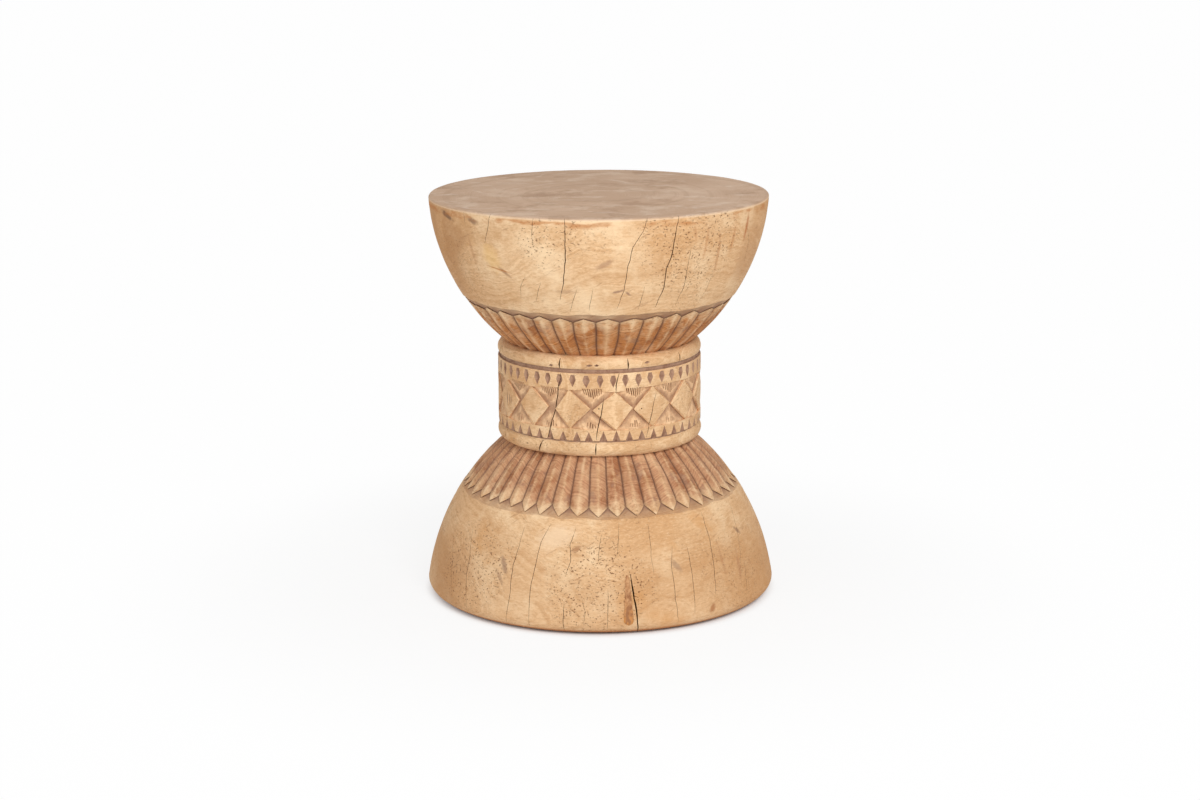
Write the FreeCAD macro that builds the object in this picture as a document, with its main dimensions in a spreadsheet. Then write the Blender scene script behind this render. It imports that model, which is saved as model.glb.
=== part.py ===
import FreeCAD, Part
import math
import os

import Sketcher

# A carved drum table of three turned blocks: a bowl with a flat top, a straight waist between two
# beads, and a wider bowl upside down as the foot. Millimetres, +Z up, origin on the floor under the
# middle of the foot. The front looks along -Y.

# Sizes: name, number, what it is
SIZES = [
    ("top_block_height", 180.0, "flat top to the upper joint"),
    ("top_wide_radius", 209.4, "flat top, outside its edge's round"),
    ("top_swing_radius", 253.9, "arc of the top bowl's side"),
    ("top_edge_round", 2.5, "round on the edge of the flat top"),
    ("top_flutes", 36, "flutes round the top bowl"),
    ("top_flute_height", 56.0, "upper joint to the border of the flutes"),
    ("top_flute_depth", 3.4, "valley between two flutes at their border"),
    ("top_tip_length", 7.0, "arrow end of a flute"),

    ("base_block_height", 193.5, "underside of the foot to the lower joint"),
    ("base_wide_radius", 218.0, "foot, over its edge's round"),
    ("base_swing_radius", 287.9, "arc of the foot's side"),
    ("base_edge_round", 12.5, "round on the foot's lower edge"),
    ("base_flutes", 46, "flutes round the foot"),
    ("base_flute_height", 63.0, "lower joint to the border of the flutes"),
    ("base_flute_depth", 3.6, "valley between two flutes at their border"),
    ("base_tip_length", 12.0, "arrow end of a flute"),

    ("flute_spans", 4, "straight lengths along a flute between its tip and the joint"),
    ("flute_step", 0.4, "plain wood above the flutes' ridges at their border"),
    ("chip_width_share", 0.96, "a chip's width, of a flute's"),
    ("chip_depth_share", 1.1, "a chip's depth, of a valley's"),

    ("band_radius", 126.5, "face of the carved band"),
    ("band_height", 84.0, "carved band between its grooves"),
    ("band_bevel", 1.2, "bevel on both edges of the band"),
    ("seat_inset", 9.0, "band's face to the edge where the waist meets a bowl"),
    ("groove_depth", 2.7, "grooves beside the beads, below the band's face"),
    ("lower_bead_height", 18.6, "lower joint to the groove over the lower bead"),
    ("lower_bead_bulge", 6.4, "round of the lower bead, out from its own chord"),
    ("lower_groove_width", 1.8, "groove between the lower bead and the band"),
    ("upper_bead_height", 15.0, "groove under the upper bead to the upper joint"),
    ("upper_bead_bulge", 4.6, "round of the upper bead, out from its own chord"),
    ("upper_bead_inset", 1.2, "band's face to the upper bead's lower edge"),
    ("upper_groove_width", 4.6, "groove between the band and the upper bead"),

    ("diamonds", 15, "diamonds round the band"),
    ("diamond_width", 48.5, "one diamond across"),
    ("diamond_height", 47.5, "one diamond from point to point"),
    ("diamond_middle", 39.6, "band's lower edge to the middle of a diamond"),
    ("diamond_turn", 79.9, "front to the first diamond, degrees"),
    ("ground_depth", 3.6, "cut-back ground between the diamonds"),

    ("leaf_cuts", 49, "gouge cuts along the band's upper edge"),
    ("leaf_length", 27.7, "spindle that shapes one gouge cut"),
    ("leaf_radius", 4.53, "the spindle's belly"),
    ("leaf_depth", 2.4, "how deep the belly goes into the band"),
    ("leaf_rise", 2.2, "spindle's end above the band's upper edge"),
    ("leaf_belly_share", 0.62, "the belly's place, from the spindle's lower end"),

    ("notches", 49, "notches along the band's lower edge"),
    ("notch_width", 9.5, "one notch across its open end"),
    ("notch_length", 12.2, "one notch from the band's edge to its point"),
    ("notch_depth", 3.0, "one notch at its open end"),
    ("notch_point_depth", 0.9, "one notch at its point"),

    ("tenon_radius", 70.0, "round tenon at each end of the waist"),
    ("tenon_length", 45.0, "round tenon at each end of the waist"),
    ("tenon_lead", 2.0, "chamfer on the tenon's end"),
    ("tenon_gap", 0.25, "glue gap round the tenon"),
    ("tenon_relief", 1.0, "room under the tenon's end"),

    ("dowels", 4, "dowels in each joint"),
    ("dowel_radius", 6.0, "one dowel"),
    ("dowel_length", 50.0, "one dowel, half in each block"),
    ("dowel_lead", 1.0, "chamfer on the dowel's ends"),
    ("dowel_gap", 0.1, "glue gap round a dowel"),
    ("dowel_relief", 1.0, "room past each end of a dowel"),

    ("glide_inset", 36.0, "foot's widest edge to the middle of a glide"),
    ("glide_radius", 12.5, "one glide"),
    ("glide_height", 2.5, "one glide, under the foot"),
    ("glide_edge", 0.6, "chamfer on the glide's lower edge"),
    ("nail_radius", 1.1, "nail's shank"),
    ("nail_length", 20.0, "nail under its head"),
    ("nail_point", 3.0, "nail's point"),
    ("nail_head_radius", 3.4, "nail's head"),
    ("nail_head_height", 0.9, "nail's head"),
    ("nail_head_sink", 0.5, "head above the glide's face"),
    ("nail_gap", 0.1, "room round the nail in the glide and the foot"),

    ("patch_turn", 8.9, "front to the patch, degrees"),
    ("patch_bottom", 10.5, "underside of the foot to the patch"),
    ("patch_length", 58.5, "one patch from end to end"),
    ("patch_round", 6.0, "round lower end of the patch"),
    ("patch_tip", 2.2, "round upper end of the patch"),
    ("patch_end_share", 0.95, "half the width where an end begins, of its round"),
    ("patch_depth", 14.5, "foot's widest edge to the bottom of the patch's recess"),
    ("patch_gap", 0.1, "line round the patch"),

    ("overrun", 6.0, "how far a cut runs past the wood"),
]

doc = FreeCAD.newDocument("DrumTable")
sheet = doc.addObject("Spreadsheet::Sheet", "Sizes")
for row, (name, number, note) in enumerate(SIZES, start=1):
    sheet.set("A%d" % row, name)
    sheet.set("B%d" % row, str(number))
    sheet.setAlias("B%d" % row, name)
    sheet.set("C%d" % row, note)
doc.recompute()


class Size:
    """A size as a number, which draws a shape, and as the expression, which binds it."""

    def __init__(self, number, text):
        self.number = float(number)
        self.text = text

    def __add__(self, other):
        other = sized(other)
        return Size(self.number + other.number, "(%s + %s)" % (self.text, other.text))

    def __sub__(self, other):
        other = sized(other)
        return Size(self.number - other.number, "(%s - %s)" % (self.text, other.text))

    def __mul__(self, other):
        other = sized(other)
        return Size(self.number * other.number, "(%s * %s)" % (self.text, other.text))

    def __truediv__(self, other):
        other = sized(other)
        return Size(self.number / other.number, "(%s / %s)" % (self.text, other.text))

    def __neg__(self):
        return sized(0) - self


def sized(value):
    return value if isinstance(value, Size) else Size(value, repr(value))


def root(size):
    return Size(math.sqrt(size.number), "sqrt(%s)" % size.text)


def arcsine(size):
    """The angle in degrees."""
    return Size(math.degrees(math.asin(size.number)), "(asin(%s) / 1 deg)" % size.text)


def cosine(degrees):
    return Size(math.cos(math.radians(degrees.number)), "cos(%s * 1 deg)" % degrees.text)


def sine(degrees):
    return Size(math.sin(math.radians(degrees.number)), "sin(%s * 1 deg)" % degrees.text)


size = {name: Size(number, "Sizes." + name) for name, number, note in SIZES}


# Bodies, sketches and features

def new_body(name):
    body = doc.addObject("PartDesign::Body", name)
    body.Label = name
    body.AllowCompound = True
    return body


def origin_item(body, role):
    for item in body.Origin.OriginFeatures:
        if item.Role == role:
            return item


def bind(item, **values):
    for field, value in values.items():
        item.setExpression(field, sized(value).text)


def seat(item, body, role, lift=(0, 0, 0), turn_about=None, turn=0):
    """Attach a sketch or primitive to an origin plane, lifted along and turned about the plane's axes."""
    item.AttachmentSupport = [(origin_item(body, role), "")]
    item.MapMode = "FlatFace"
    axis = FreeCAD.Vector(*turn_about) if turn_about else FreeCAD.Vector(0, 0, 1)
    lift = [sized(value) for value in lift]
    turn = sized(turn)
    item.AttachmentOffset = FreeCAD.Placement(
        FreeCAD.Vector(*[value.number for value in lift]), FreeCAD.Rotation(axis, turn.number))
    for letter, value in zip("xyz", lift):
        item.setExpression("AttachmentOffset.Base." + letter, value.text)
    if turn_about:
        item.setExpression("AttachmentOffset.Rotation.Angle", turn.text)


def arc_between(start, end, radius, centre_left):
    """The short arc from start to end, with its centre on the left or the right of the way."""
    chord = end - start
    half = chord.Length / 2
    side = FreeCAD.Vector(-chord.y, chord.x, 0)
    side.normalize()
    reach = math.sqrt(max(radius * radius - half * half, 0))
    centre = start + chord / 2 + side * (reach if centre_left else -reach)
    first, last = (start, end) if centre_left else (end, start)
    angles = [math.atan2(point.y - centre.y, point.x - centre.x) for point in (first, last)]
    if angles[1] < angles[0]:
        angles[1] += 2 * math.pi
    circle = Part.Circle(centre, FreeCAD.Vector(0, 0, 1), radius)
    return Part.ArcOfCircle(circle, angles[0], angles[1])


def fix(sketch, kind, edge, end, value):
    """Hold one coordinate of an edge's end: on the axis where it is zero, else at its size."""
    value = sized(value)
    if value.text == "0":
        axis = -2 if kind == "DistanceX" else -1
        sketch.addConstraint(Sketcher.Constraint("PointOnObject", edge, end, axis))
    else:
        number = sketch.addConstraint(Sketcher.Constraint(kind, edge, end, value.number))
        sketch.setExpression("Constraints[%d]" % number, value.text)


def outline(body, name, role, corners, arcs=None, **seating):
    """A closed outline through corners; arcs gives edge number: (radius, centre on the left)."""
    sketch = body.newObject("Sketcher::SketchObject", name)
    seat(sketch, body, role, **seating)
    arcs = arcs or {}
    points = [FreeCAD.Vector(sized(across).number, sized(along).number, 0) for across, along in corners]
    count = len(points)
    ends = []
    for edge in range(count):
        start, end = points[edge], points[(edge + 1) % count]
        if edge in arcs:
            radius, centre_left = arcs[edge]
            sketch.addGeometry(arc_between(start, end, radius.number, centre_left))
            ends.append((1, 2) if centre_left else (2, 1))
        else:
            sketch.addGeometry(Part.LineSegment(start, end))
            ends.append((1, 2))
    for edge in range(count):
        before = (edge - 1) % count
        sketch.addConstraint(Sketcher.Constraint("Coincident", before, ends[before][1], edge, ends[edge][0]))
        fix(sketch, "DistanceX", edge, ends[edge][0], corners[edge][0])
        fix(sketch, "DistanceY", edge, ends[edge][0], corners[edge][1])
    for edge, (radius, centre_left) in arcs.items():
        number = sketch.addConstraint(Sketcher.Constraint("Radius", edge, radius.number))
        sketch.setExpression("Constraints[%d]" % number, radius.text)
    return sketch


def circles(body, name, role, centres, radius, **seating):
    """Circles of one radius round the centres."""
    sketch = body.newObject("Sketcher::SketchObject", name)
    seat(sketch, body, role, **seating)
    for edge, (across, along) in enumerate(centres):
        middle = FreeCAD.Vector(sized(across).number, sized(along).number, 0)
        sketch.addGeometry(Part.Circle(middle, FreeCAD.Vector(0, 0, 1), radius.number))
        fix(sketch, "DistanceX", edge, 3, across)
        fix(sketch, "DistanceY", edge, 3, along)
        number = sketch.addConstraint(Sketcher.Constraint("Radius", edge, radius.number))
        sketch.setExpression("Constraints[%d]" % number, radius.text)
    return sketch


def ring_of_places(reach, count, first=0):
    """Centres evenly round the axis, the first turned by some degrees."""
    turns = [sized(first) + 360 * step / count for step in range(count)]
    return [(reach * cosine(turn), reach * sine(turn)) for turn in turns]


def turned(body, kind, name, sketch, sweep=None):
    """A Revolution or Groove about the sketch's own upright axis."""
    item = body.newObject("PartDesign::" + kind, name)
    item.Profile = (sketch, [""])
    item.ReferenceAxis = (sketch, ["V_Axis"])
    item.Angle = 360
    item.Refine = False
    if sweep:
        bind(item, Angle=sweep)
    return item


def straight(body, kind, name, sketch, length, reverse=False):
    """A Pad or Pocket of a length."""
    item = body.newObject("PartDesign::" + kind, name)
    item.Profile = (sketch, [""])
    item.Reversed = reverse
    item.Refine = False
    bind(item, Length=length)
    return item


def round_about(body, name, originals, count):
    """Repeat features round the upright axis."""
    pattern = body.newObject("PartDesign::PolarPattern", name)
    pattern.Originals = originals
    pattern.Axis = (origin_item(body, "Z_Axis"), [""])
    pattern.Angle = 360
    pattern.Refine = False
    bind(pattern, Occurrences=count)
    body.Tip = pattern
    return pattern


def place(body, lift, flip=False):
    turn = FreeCAD.Rotation(FreeCAD.Vector(1, 0, 0), 180 if flip else 0)
    body.Placement = FreeCAD.Placement(FreeCAD.Vector(0, 0, sized(lift).number), turn)
    body.setExpression("Placement.Base.z", sized(lift).text)


# Heights of the joints and the top above the floor, and the places that the pieces share

lower_joint = size["glide_height"] + size["base_block_height"]
waist_height = (size["lower_bead_height"] + size["lower_groove_width"] + size["band_height"]
                + size["upper_groove_width"] + size["upper_bead_height"])
upper_joint = lower_joint + waist_height
table_top = upper_joint + size["top_block_height"]
seat_radius = size["band_radius"] - size["seat_inset"]
dowel_ring = (size["tenon_radius"] + seat_radius) / 2
glide_ring = size["base_wide_radius"] - size["glide_inset"]


# The two bowls stand on their wide face here, and the top bowl is turned over when it is placed

class Swing:
    """The arc of a bowl's side, from over the wide face's round to the seat of the waist."""

    def __init__(self, block):
        self.radius = size[block + "_swing_radius"]
        wide, low = size[block + "_wide_radius"], size[block + "_edge_round"]
        high = size[block + "_block_height"]
        across, along = wide - seat_radius, high - low
        chord = root(across * across + along * along)
        back = root(self.radius * self.radius - chord * chord / 4)
        self.inset = back * along / chord - (wide + seat_radius) / 2
        self.below = back * across / chord - (low + high) / 2

    def reach(self, height):
        """Radius of the bowl at a height above its wide face."""
        rise = height + self.below
        return root(self.radius * self.radius - rise * rise) - self.inset

    def tilt(self, height):
        """How far the side's outward direction looks up at a height, in degrees."""
        return arcsine((height + self.below) / self.radius)


def star(reach, valley, height, count):
    """A closed outline with a ridge and a valley for each flute, at one height."""
    points = []
    for step in range(2 * count):
        radius = valley if step % 2 == 0 else reach
        turn = math.pi * step / count
        points.append(FreeCAD.Vector(radius * math.cos(turn), radius * math.sin(turn), height))
    return Part.makePolygon(points + points[:1])


def flute_border(block):
    """From a bowl's wide face to the border of its flutes."""
    return size[block + "_block_height"] - size[block + "_flute_height"]


def fluted_neck(name, swing, block):
    """The carved part of a bowl: gabled flutes whose valleys run out at the border."""
    height = size[block + "_block_height"].number
    border = flute_border(block).number
    tip = size[block + "_tip_length"] * cosine(swing.tilt(flute_border(block)))
    depth = size[block + "_flute_depth"].number / swing.reach(flute_border(block)).number
    start = border + tip.number
    spans = int(size["flute_spans"].number)
    heights = [border] + [start + (height - start) * step / spans for step in range(spans + 1)]
    rings = []
    for level in heights:
        ridge = swing.reach(sized(level)).number - size["flute_step"].number
        valley = ridge if level == border else ridge * (1 - depth)
        rings.append(star(ridge, valley, level, int(size[block + "_flutes"].number)))
    neck = doc.addObject("Part::Feature", name)
    neck.Shape = Part.makeLoft(rings, True, True).cut(tip_chips(swing, block))
    return neck


def tip_chips(swing, block):
    """Wedges that cut the triangular chips between the flutes' arrow-shaped ends."""
    border, count = flute_border(block), int(size[block + "_flutes"].number)
    reach, tilt = swing.reach(border).number, swing.tilt(border).number
    half_width = reach * math.pi / count * size["chip_width_share"].number
    length, overrun = size[block + "_tip_length"].number, size["overrun"].number
    depth = size[block + "_flute_depth"].number * size["chip_depth_share"].number
    chip = Part.makeWedge(-half_width, 0, 0, -depth, 0, half_width, length, overrun, overrun, 0)
    chip.rotate(FreeCAD.Vector(), FreeCAD.Vector(1, 0, 0), 90 - tilt)
    chip.rotate(FreeCAD.Vector(), FreeCAD.Vector(0, 0, 1), 90)
    chip.translate(FreeCAD.Vector(reach, 0, border.number))
    chips = []
    for step in range(count):
        turned_chip = chip.copy()
        turned_chip.rotate(FreeCAD.Vector(), FreeCAD.Vector(0, 0, 1), 360 * step / count)
        chips.append(turned_chip)
    return chips


def spin_bowl(body, swing, block):
    """The plain part of a bowl, from its wide face to the border of the flutes."""
    edge_round, wide, border = size[block + "_edge_round"], size[block + "_wide_radius"], flute_border(block)
    corners = [
        (0, 0),
        (wide - edge_round, 0),
        (wide, edge_round),
        (swing.reach(border), border),
        (0, border),
    ]
    arcs = {1: (edge_round, True), 2: (swing.radius, True)}
    sketch = outline(body, body.Name + "_outline", "XZ_Plane", corners, arcs)
    turned(body, "Revolution", body.Name + "_block", sketch)


def bore_joint(body, height):
    """The socket for the waist's round tenon and the holes for the dowels."""
    socket = circles(body, body.Name + "_socket", "XY_Plane", [(0, 0)],
                     size["tenon_radius"] + size["tenon_gap"], lift=(0, 0, height))
    straight(body, "Pocket", body.Name + "_socket_cut", socket,
             size["tenon_length"] + size["tenon_relief"])
    holes = circles(body, body.Name + "_dowels", "XY_Plane", dowel_places(),
                    size["dowel_radius"] + size["dowel_gap"], lift=(0, 0, height))
    straight(body, "Pocket", body.Name + "_dowel_holes", holes,
             size["dowel_length"] / 2 + size["dowel_relief"])


def dowel_places():
    return ring_of_places(dowel_ring, int(size["dowels"].number))


def make_top_bowl():
    body = new_body("top_bowl")
    swing = Swing("top")
    body.BaseFeature = fluted_neck("top_neck", swing, "top")
    doc.recompute()
    spin_bowl(body, swing, "top")
    bore_joint(body, size["top_block_height"])
    place(body, table_top, flip=True)
    return body


def patch_corners(grow):
    """The drop-shaped patch, upright, larger all round by grow."""
    low, high, share = size["patch_round"] + grow, size["patch_tip"] + grow, size["patch_end_share"]
    rise = root(sized(1) - share * share)
    foot = size["patch_bottom"] + size["patch_round"] - low * rise
    head = size["patch_bottom"] + size["patch_length"] - size["patch_tip"] + high * rise
    wide, narrow = low * share, high * share
    corners = [(wide, foot), (narrow, head), (-narrow, head), (-wide, foot)]
    arcs = {1: (high, True), 3: (low, True)}
    return corners, arcs


def make_base_bowl():
    body = new_body("base_bowl")
    swing = Swing("base")
    body.BaseFeature = fluted_neck("base_neck", swing, "base")
    doc.recompute()
    spin_bowl(body, swing, "base")
    bore_joint(body, size["base_block_height"])

    pilots = circles(body, "pilots", "XY_Plane", ring_of_places(glide_ring, 4, first=45),
                     size["nail_radius"] + size["nail_gap"])
    straight(body, "Pocket", "pilot_holes", pilots, nail_reach(), reverse=True)

    corners, arcs = patch_corners(size["patch_gap"])
    recess = outline(body, "patch_recess", "XZ_Plane", corners, arcs,
                     lift=patch_lift(), turn_about=(0, 1, 0), turn=size["patch_turn"])
    straight(body, "Pocket", "patch_recess_cut", recess, size["patch_depth"] + size["overrun"], reverse=True)

    place(body, size["glide_height"])
    return body


def nail_reach():
    """How far the nail and its pilot hole go into the foot."""
    return size["nail_length"] + size["nail_head_sink"] + size["nail_head_height"] - size["glide_height"]


def patch_lift():
    """From the axis out to the bottom of the patch's recess, at the patch's angle."""
    bed = size["base_wide_radius"] - size["patch_depth"]
    return (bed * sine(size["patch_turn"]), 0, bed * cosine(size["patch_turn"]))


def make_filler_patch():
    """A drop-shaped plug trimmed to the curve of the foot's side."""
    body = new_body("filler_patch")
    swing = Swing("base")
    corners, arcs = patch_corners(sized(0))
    drop = outline(body, "patch_drop", "XZ_Plane", corners, arcs,
                   lift=patch_lift(), turn_about=(0, 1, 0), turn=size["patch_turn"])
    straight(body, "Pad", "patch_plug", drop, size["patch_depth"] + size["overrun"])
    low = size["patch_bottom"] - size["overrun"] / 2
    high = size["patch_bottom"] + size["patch_length"] + size["overrun"]
    outside = size["base_wide_radius"] + size["overrun"] * 2
    skin = outline(body, "patch_skin", "XZ_Plane", [
        (swing.reach(low), low),
        (outside, low),
        (outside, high),
        (swing.reach(high), high),
    ], {3: (swing.radius, False)})
    turned(body, "Groove", "patch_skin_cut", skin)
    place(body, size["glide_height"])
    return body


# The waist stands on the end of its lower tenon here

def bead_radius(start, end, bulge):
    """The arc that stands out by bulge from the chord between two corners."""
    across, along = end[0] - start[0], end[1] - start[1]
    return ((across * across + along * along) / 4 + bulge * bulge) / (bulge * 2)


def spin_waist(body):
    tenon, lead, band = size["tenon_radius"], size["tenon_lead"], size["band_radius"]
    groove, bevel = band - size["groove_depth"], size["band_bevel"]
    lower_face = size["tenon_length"]
    bead_top = lower_face + size["lower_bead_height"]
    band_low = bead_top + size["lower_groove_width"]
    band_high = band_low + size["band_height"]
    shoulder = band_high + size["upper_groove_width"]
    upper_face = lower_face + waist_height
    end = upper_face + size["tenon_length"]
    middle = band_low + size["diamond_middle"]
    half = size["diamond_height"] / 2
    corners = [
        (0, 0),
        (tenon - lead, 0),
        (tenon, lead),
        (tenon, lower_face),
        (seat_radius, lower_face),
        (groove, bead_top),
        (groove, band_low),
        (band - bevel, band_low),
        (band, band_low + bevel),
        (band, middle - half),
        (band - size["ground_depth"], middle),
        (band, middle + half),
        (band, band_high - bevel),
        (band - bevel, band_high),
        (groove, band_high),
        (groove, shoulder),
        (band - size["upper_bead_inset"], shoulder),
        (seat_radius, upper_face),
        (tenon, upper_face),
        (tenon, end - lead),
        (tenon - lead, end),
        (0, end),
    ]
    bulges = {4: size["lower_bead_bulge"], 16: size["upper_bead_bulge"]}
    arcs = {edge: (bead_radius(corners[edge], corners[edge + 1], bulge), True)
            for edge, bulge in bulges.items()}
    sketch = outline(body, "waist_outline", "XZ_Plane", corners, arcs)
    turned(body, "Revolution", "waist_block", sketch)
    return band_low, band_high, middle


def raise_diamonds(body, middle):
    """Diamonds left standing on the cut-back ground, with their faces flush with the band."""
    band = size["band_radius"]
    half_width, half = size["diamond_width"] / 2, size["diamond_height"] / 2
    core = band - size["ground_depth"] - size["overrun"]
    turn = size["diamond_turn"]
    sketch = outline(
        body, "diamond", "XZ_Plane",
        [(0, middle - half), (half_width, middle), (0, middle + half), (-half_width, middle)],
        lift=(core * sine(turn), 0, core * cosine(turn)), turn_about=(0, 1, 0), turn=turn)
    diamond = straight(body, "Pad", "diamond_block", sketch, size["ground_depth"] + size["overrun"] * 2)
    round_about(body, "diamond_ring", [diamond], size["diamonds"])
    outside = band + size["overrun"] * 2
    trim = outline(body, "band_face", "XZ_Plane", [
        (band, middle - half), (outside, middle - half), (outside, middle + half), (band, middle + half)])
    turned(body, "Groove", "band_face_cut", trim)


def cut_leaves(body, band_high):
    """Leaf-shaped gouge cuts, each a spindle sunk into the band's face."""
    foot = band_high + size["leaf_rise"] - size["leaf_length"]
    spindle = outline(
        body, "leaf", "XZ_Plane",
        [(0, 0), (size["leaf_radius"], size["leaf_length"] * size["leaf_belly_share"]),
         (0, size["leaf_length"])],
        lift=(size["band_radius"] + size["leaf_radius"] - size["leaf_depth"], foot, 0))
    leaf = turned(body, "Groove", "leaf_cut", spindle)
    round_about(body, "leaf_ring", [leaf], size["leaf_cuts"])


def cut_notches(body, band_low):
    """Triangular notches, open at the band's lower edge."""
    notch = body.newObject("PartDesign::SubtractiveWedge", "notch")
    notch.Refine = False
    seat(notch, body, "YZ_Plane", lift=(0, band_low, size["band_radius"]))
    half_width = size["notch_width"] / 2
    bind(notch, Xmin=-half_width, Xmax=half_width, X2min=0, X2max=0,
         Ymin=0, Ymax=size["notch_length"], Zmin=-size["notch_depth"], Zmax=size["overrun"],
         Z2min=-size["notch_point_depth"], Z2max=size["overrun"])
    round_about(body, "notch_ring", [notch], size["notches"])


def make_waist_drum():
    body = new_body("waist_drum")
    band_low, band_high, middle = spin_waist(body)
    raise_diamonds(body, middle)
    cut_leaves(body, band_high)
    cut_notches(body, band_low)

    depth = size["dowel_length"] / 2 + size["dowel_relief"]
    for name, height, upward in (("lower", size["tenon_length"], True),
                                 ("upper", size["tenon_length"] + waist_height, False)):
        holes = circles(body, name + "_dowels", "XY_Plane", dowel_places(),
                        size["dowel_radius"] + size["dowel_gap"], lift=(0, 0, height))
        straight(body, "Pocket", name + "_dowel_holes", holes, depth, reverse=upward)
    place(body, lower_joint - size["tenon_length"])
    return body


def make_dowels(name, joint):
    """Dowels round the tenon, half in each block."""
    body = new_body(name)
    radius, lead, length = size["dowel_radius"], size["dowel_lead"], size["dowel_length"]
    sketch = outline(body, name + "_outline", "XZ_Plane", [
        (0, 0), (radius - lead, 0), (radius, lead),
        (radius, length - lead), (radius - lead, length), (0, length),
    ], lift=(dowel_ring, 0, 0))
    dowel = turned(body, "Revolution", name + "_dowel", sketch)
    round_about(body, name + "_ring", [dowel], size["dowels"])
    place(body, joint - length / 2)
    return body


def glide_place(body, across, along):
    ring = glide_ring * cosine(sized(45))
    spot = {"x": ring * across, "y": ring * along}
    for letter, value in spot.items():
        body.setExpression("Placement.Base." + letter, value.text)


def make_glide(name, across, along):
    """A thin disc with a stepped hole for its nail."""
    body = new_body(name)
    radius, height, edge = size["glide_radius"], size["glide_height"], size["glide_edge"]
    gap = size["nail_gap"]
    hole = size["nail_radius"] + gap
    head = size["nail_head_radius"] + gap
    step = size["nail_head_sink"] + size["nail_head_height"]
    sketch = outline(body, name + "_outline", "XZ_Plane", [
        (head, 0), (radius - edge, 0), (radius, edge), (radius, height),
        (hole, height), (hole, step), (head, step)])
    turned(body, "Revolution", name + "_disc", sketch)
    glide_place(body, across, along)
    return body


def make_glide_nails():
    """Nails up through the glides into the foot, heads sunk above the glides' faces."""
    body = new_body("glide_nails")
    shank, head = size["nail_radius"], size["nail_head_radius"]
    seat_height = size["nail_head_height"]
    end = seat_height + size["nail_length"]
    sketch = outline(body, "nail_outline", "XZ_Plane", [
        (0, 0), (head, 0), (head, seat_height), (shank, seat_height),
        (shank, end - size["nail_point"]), (0, end),
    ], lift=(glide_ring, 0, 0))
    nail = turned(body, "Revolution", "nail", sketch)
    round_about(body, "nail_ring", [nail], 4)
    body.Placement = FreeCAD.Placement(FreeCAD.Vector(), FreeCAD.Rotation(FreeCAD.Vector(0, 0, 1), 45))
    body.setExpression("Placement.Base.z", size["nail_head_sink"].text)
    return body


pieces = [
    make_top_bowl(),
    make_waist_drum(),
    make_base_bowl(),
    make_filler_patch(),
    make_dowels("upper_joint_dowels", upper_joint),
    make_dowels("lower_joint_dowels", lower_joint),
    make_glide("glide_front_left", -1, -1),
    make_glide("glide_front_right", 1, -1),
    make_glide("glide_back_left", -1, 1),
    make_glide("glide_back_right", 1, 1),
    make_glide_nails(),
]
doc.recompute()

for item in doc.Objects:
    if "Invalid" in item.State or "Error" in item.State:
        raise RuntimeError("%s failed: %s" % (item.Name, item.State))
os.makedirs("parts", exist_ok=True)
for body in pieces:
    shape = body.Shape
    if shape.isNull() or not shape.isValid():
        raise RuntimeError("%s has no valid shape" % body.Label)
    print("%-20s %d solids  %.1f cm3" % (body.Label, len(shape.Solids), shape.Volume / 1000))
for body in pieces:
    body.Shape.exportStep("parts/%s.step" % body.Label)
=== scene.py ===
import bmesh
import bpy
import math
import random
from mathutils import Matrix, Vector, noise


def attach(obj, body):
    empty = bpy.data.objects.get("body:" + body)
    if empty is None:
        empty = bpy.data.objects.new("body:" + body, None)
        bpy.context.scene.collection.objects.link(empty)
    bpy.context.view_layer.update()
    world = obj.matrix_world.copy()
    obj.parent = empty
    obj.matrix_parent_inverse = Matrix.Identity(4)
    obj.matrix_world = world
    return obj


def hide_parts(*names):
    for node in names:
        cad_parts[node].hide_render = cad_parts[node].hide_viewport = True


# A carved drum table of sun-bleached wood. Shapes are drawn in millimetres and turned into metres
# when a piece is finished. A turn is an angle from the front, positive to the right.

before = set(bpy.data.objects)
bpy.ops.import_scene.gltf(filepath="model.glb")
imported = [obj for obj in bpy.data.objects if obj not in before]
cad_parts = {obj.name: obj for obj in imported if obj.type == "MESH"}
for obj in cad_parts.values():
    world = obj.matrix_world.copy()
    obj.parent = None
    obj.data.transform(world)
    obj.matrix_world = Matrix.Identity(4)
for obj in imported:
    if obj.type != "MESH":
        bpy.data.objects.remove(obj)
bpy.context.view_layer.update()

# Heights
FLOOR_GAP = 2.5
FOOT_BORDER = 132.7
LOWER_JOINT = 196.0
GROOVE_FOOT = 214.6
BAND_FOOT = 216.4
BAND_HEAD = 300.4
GROOVE_HEAD = 305.0
UPPER_JOINT = 320.0
TOP_BORDER = 380.0
TABLE_TOP = 500.0

# Distances from the axis. Inside the first lie only the joints, which stay as turned.
JOINT_REACH = 74
TENON = 70.0
SOCKET = 70.25
DOWEL_RING = 93.75
SEAT_REACH = 117.5
GROOVE = 123.8
UPPER_BEAD = 125.2
BAND = 126.5
LOWER_BEAD = 127.4
GLIDE_RING = 182.0
RIM = 209.1

# The bowls' sides are arcs: radius, how far the centre lies past the axis, how far past the flat face
TOP_ARC, TOP_PAST, TOP_UNDER = 253.9, 43.82, 16.06
FOOT_ARC, FOOT_PAST, FOOT_UNDER = 287.9, 67.12, 27.41
RIM_ROUND = 2.5
FOOT_ROUND = 12.5
FOOT_ROUND_CENTRE = 205.5

# Joints
TENON_LENGTH = 45
TENON_CHAMFER = 2
SOCKET_DEPTH = 46
DOWEL_HOLE = 6.1
DOWEL_DEPTH = 26
NAIL_HOLE = 1.2
NAIL_DEPTH = 19
PAST = 5  # a hole's cutter runs this far past the face that it opens in

# The finishes of the three blocks by their numbers, after the bleached skin, which is 0
GROUND, CRACK, CUT, EDGE, TICK = range(1, 6)


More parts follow.
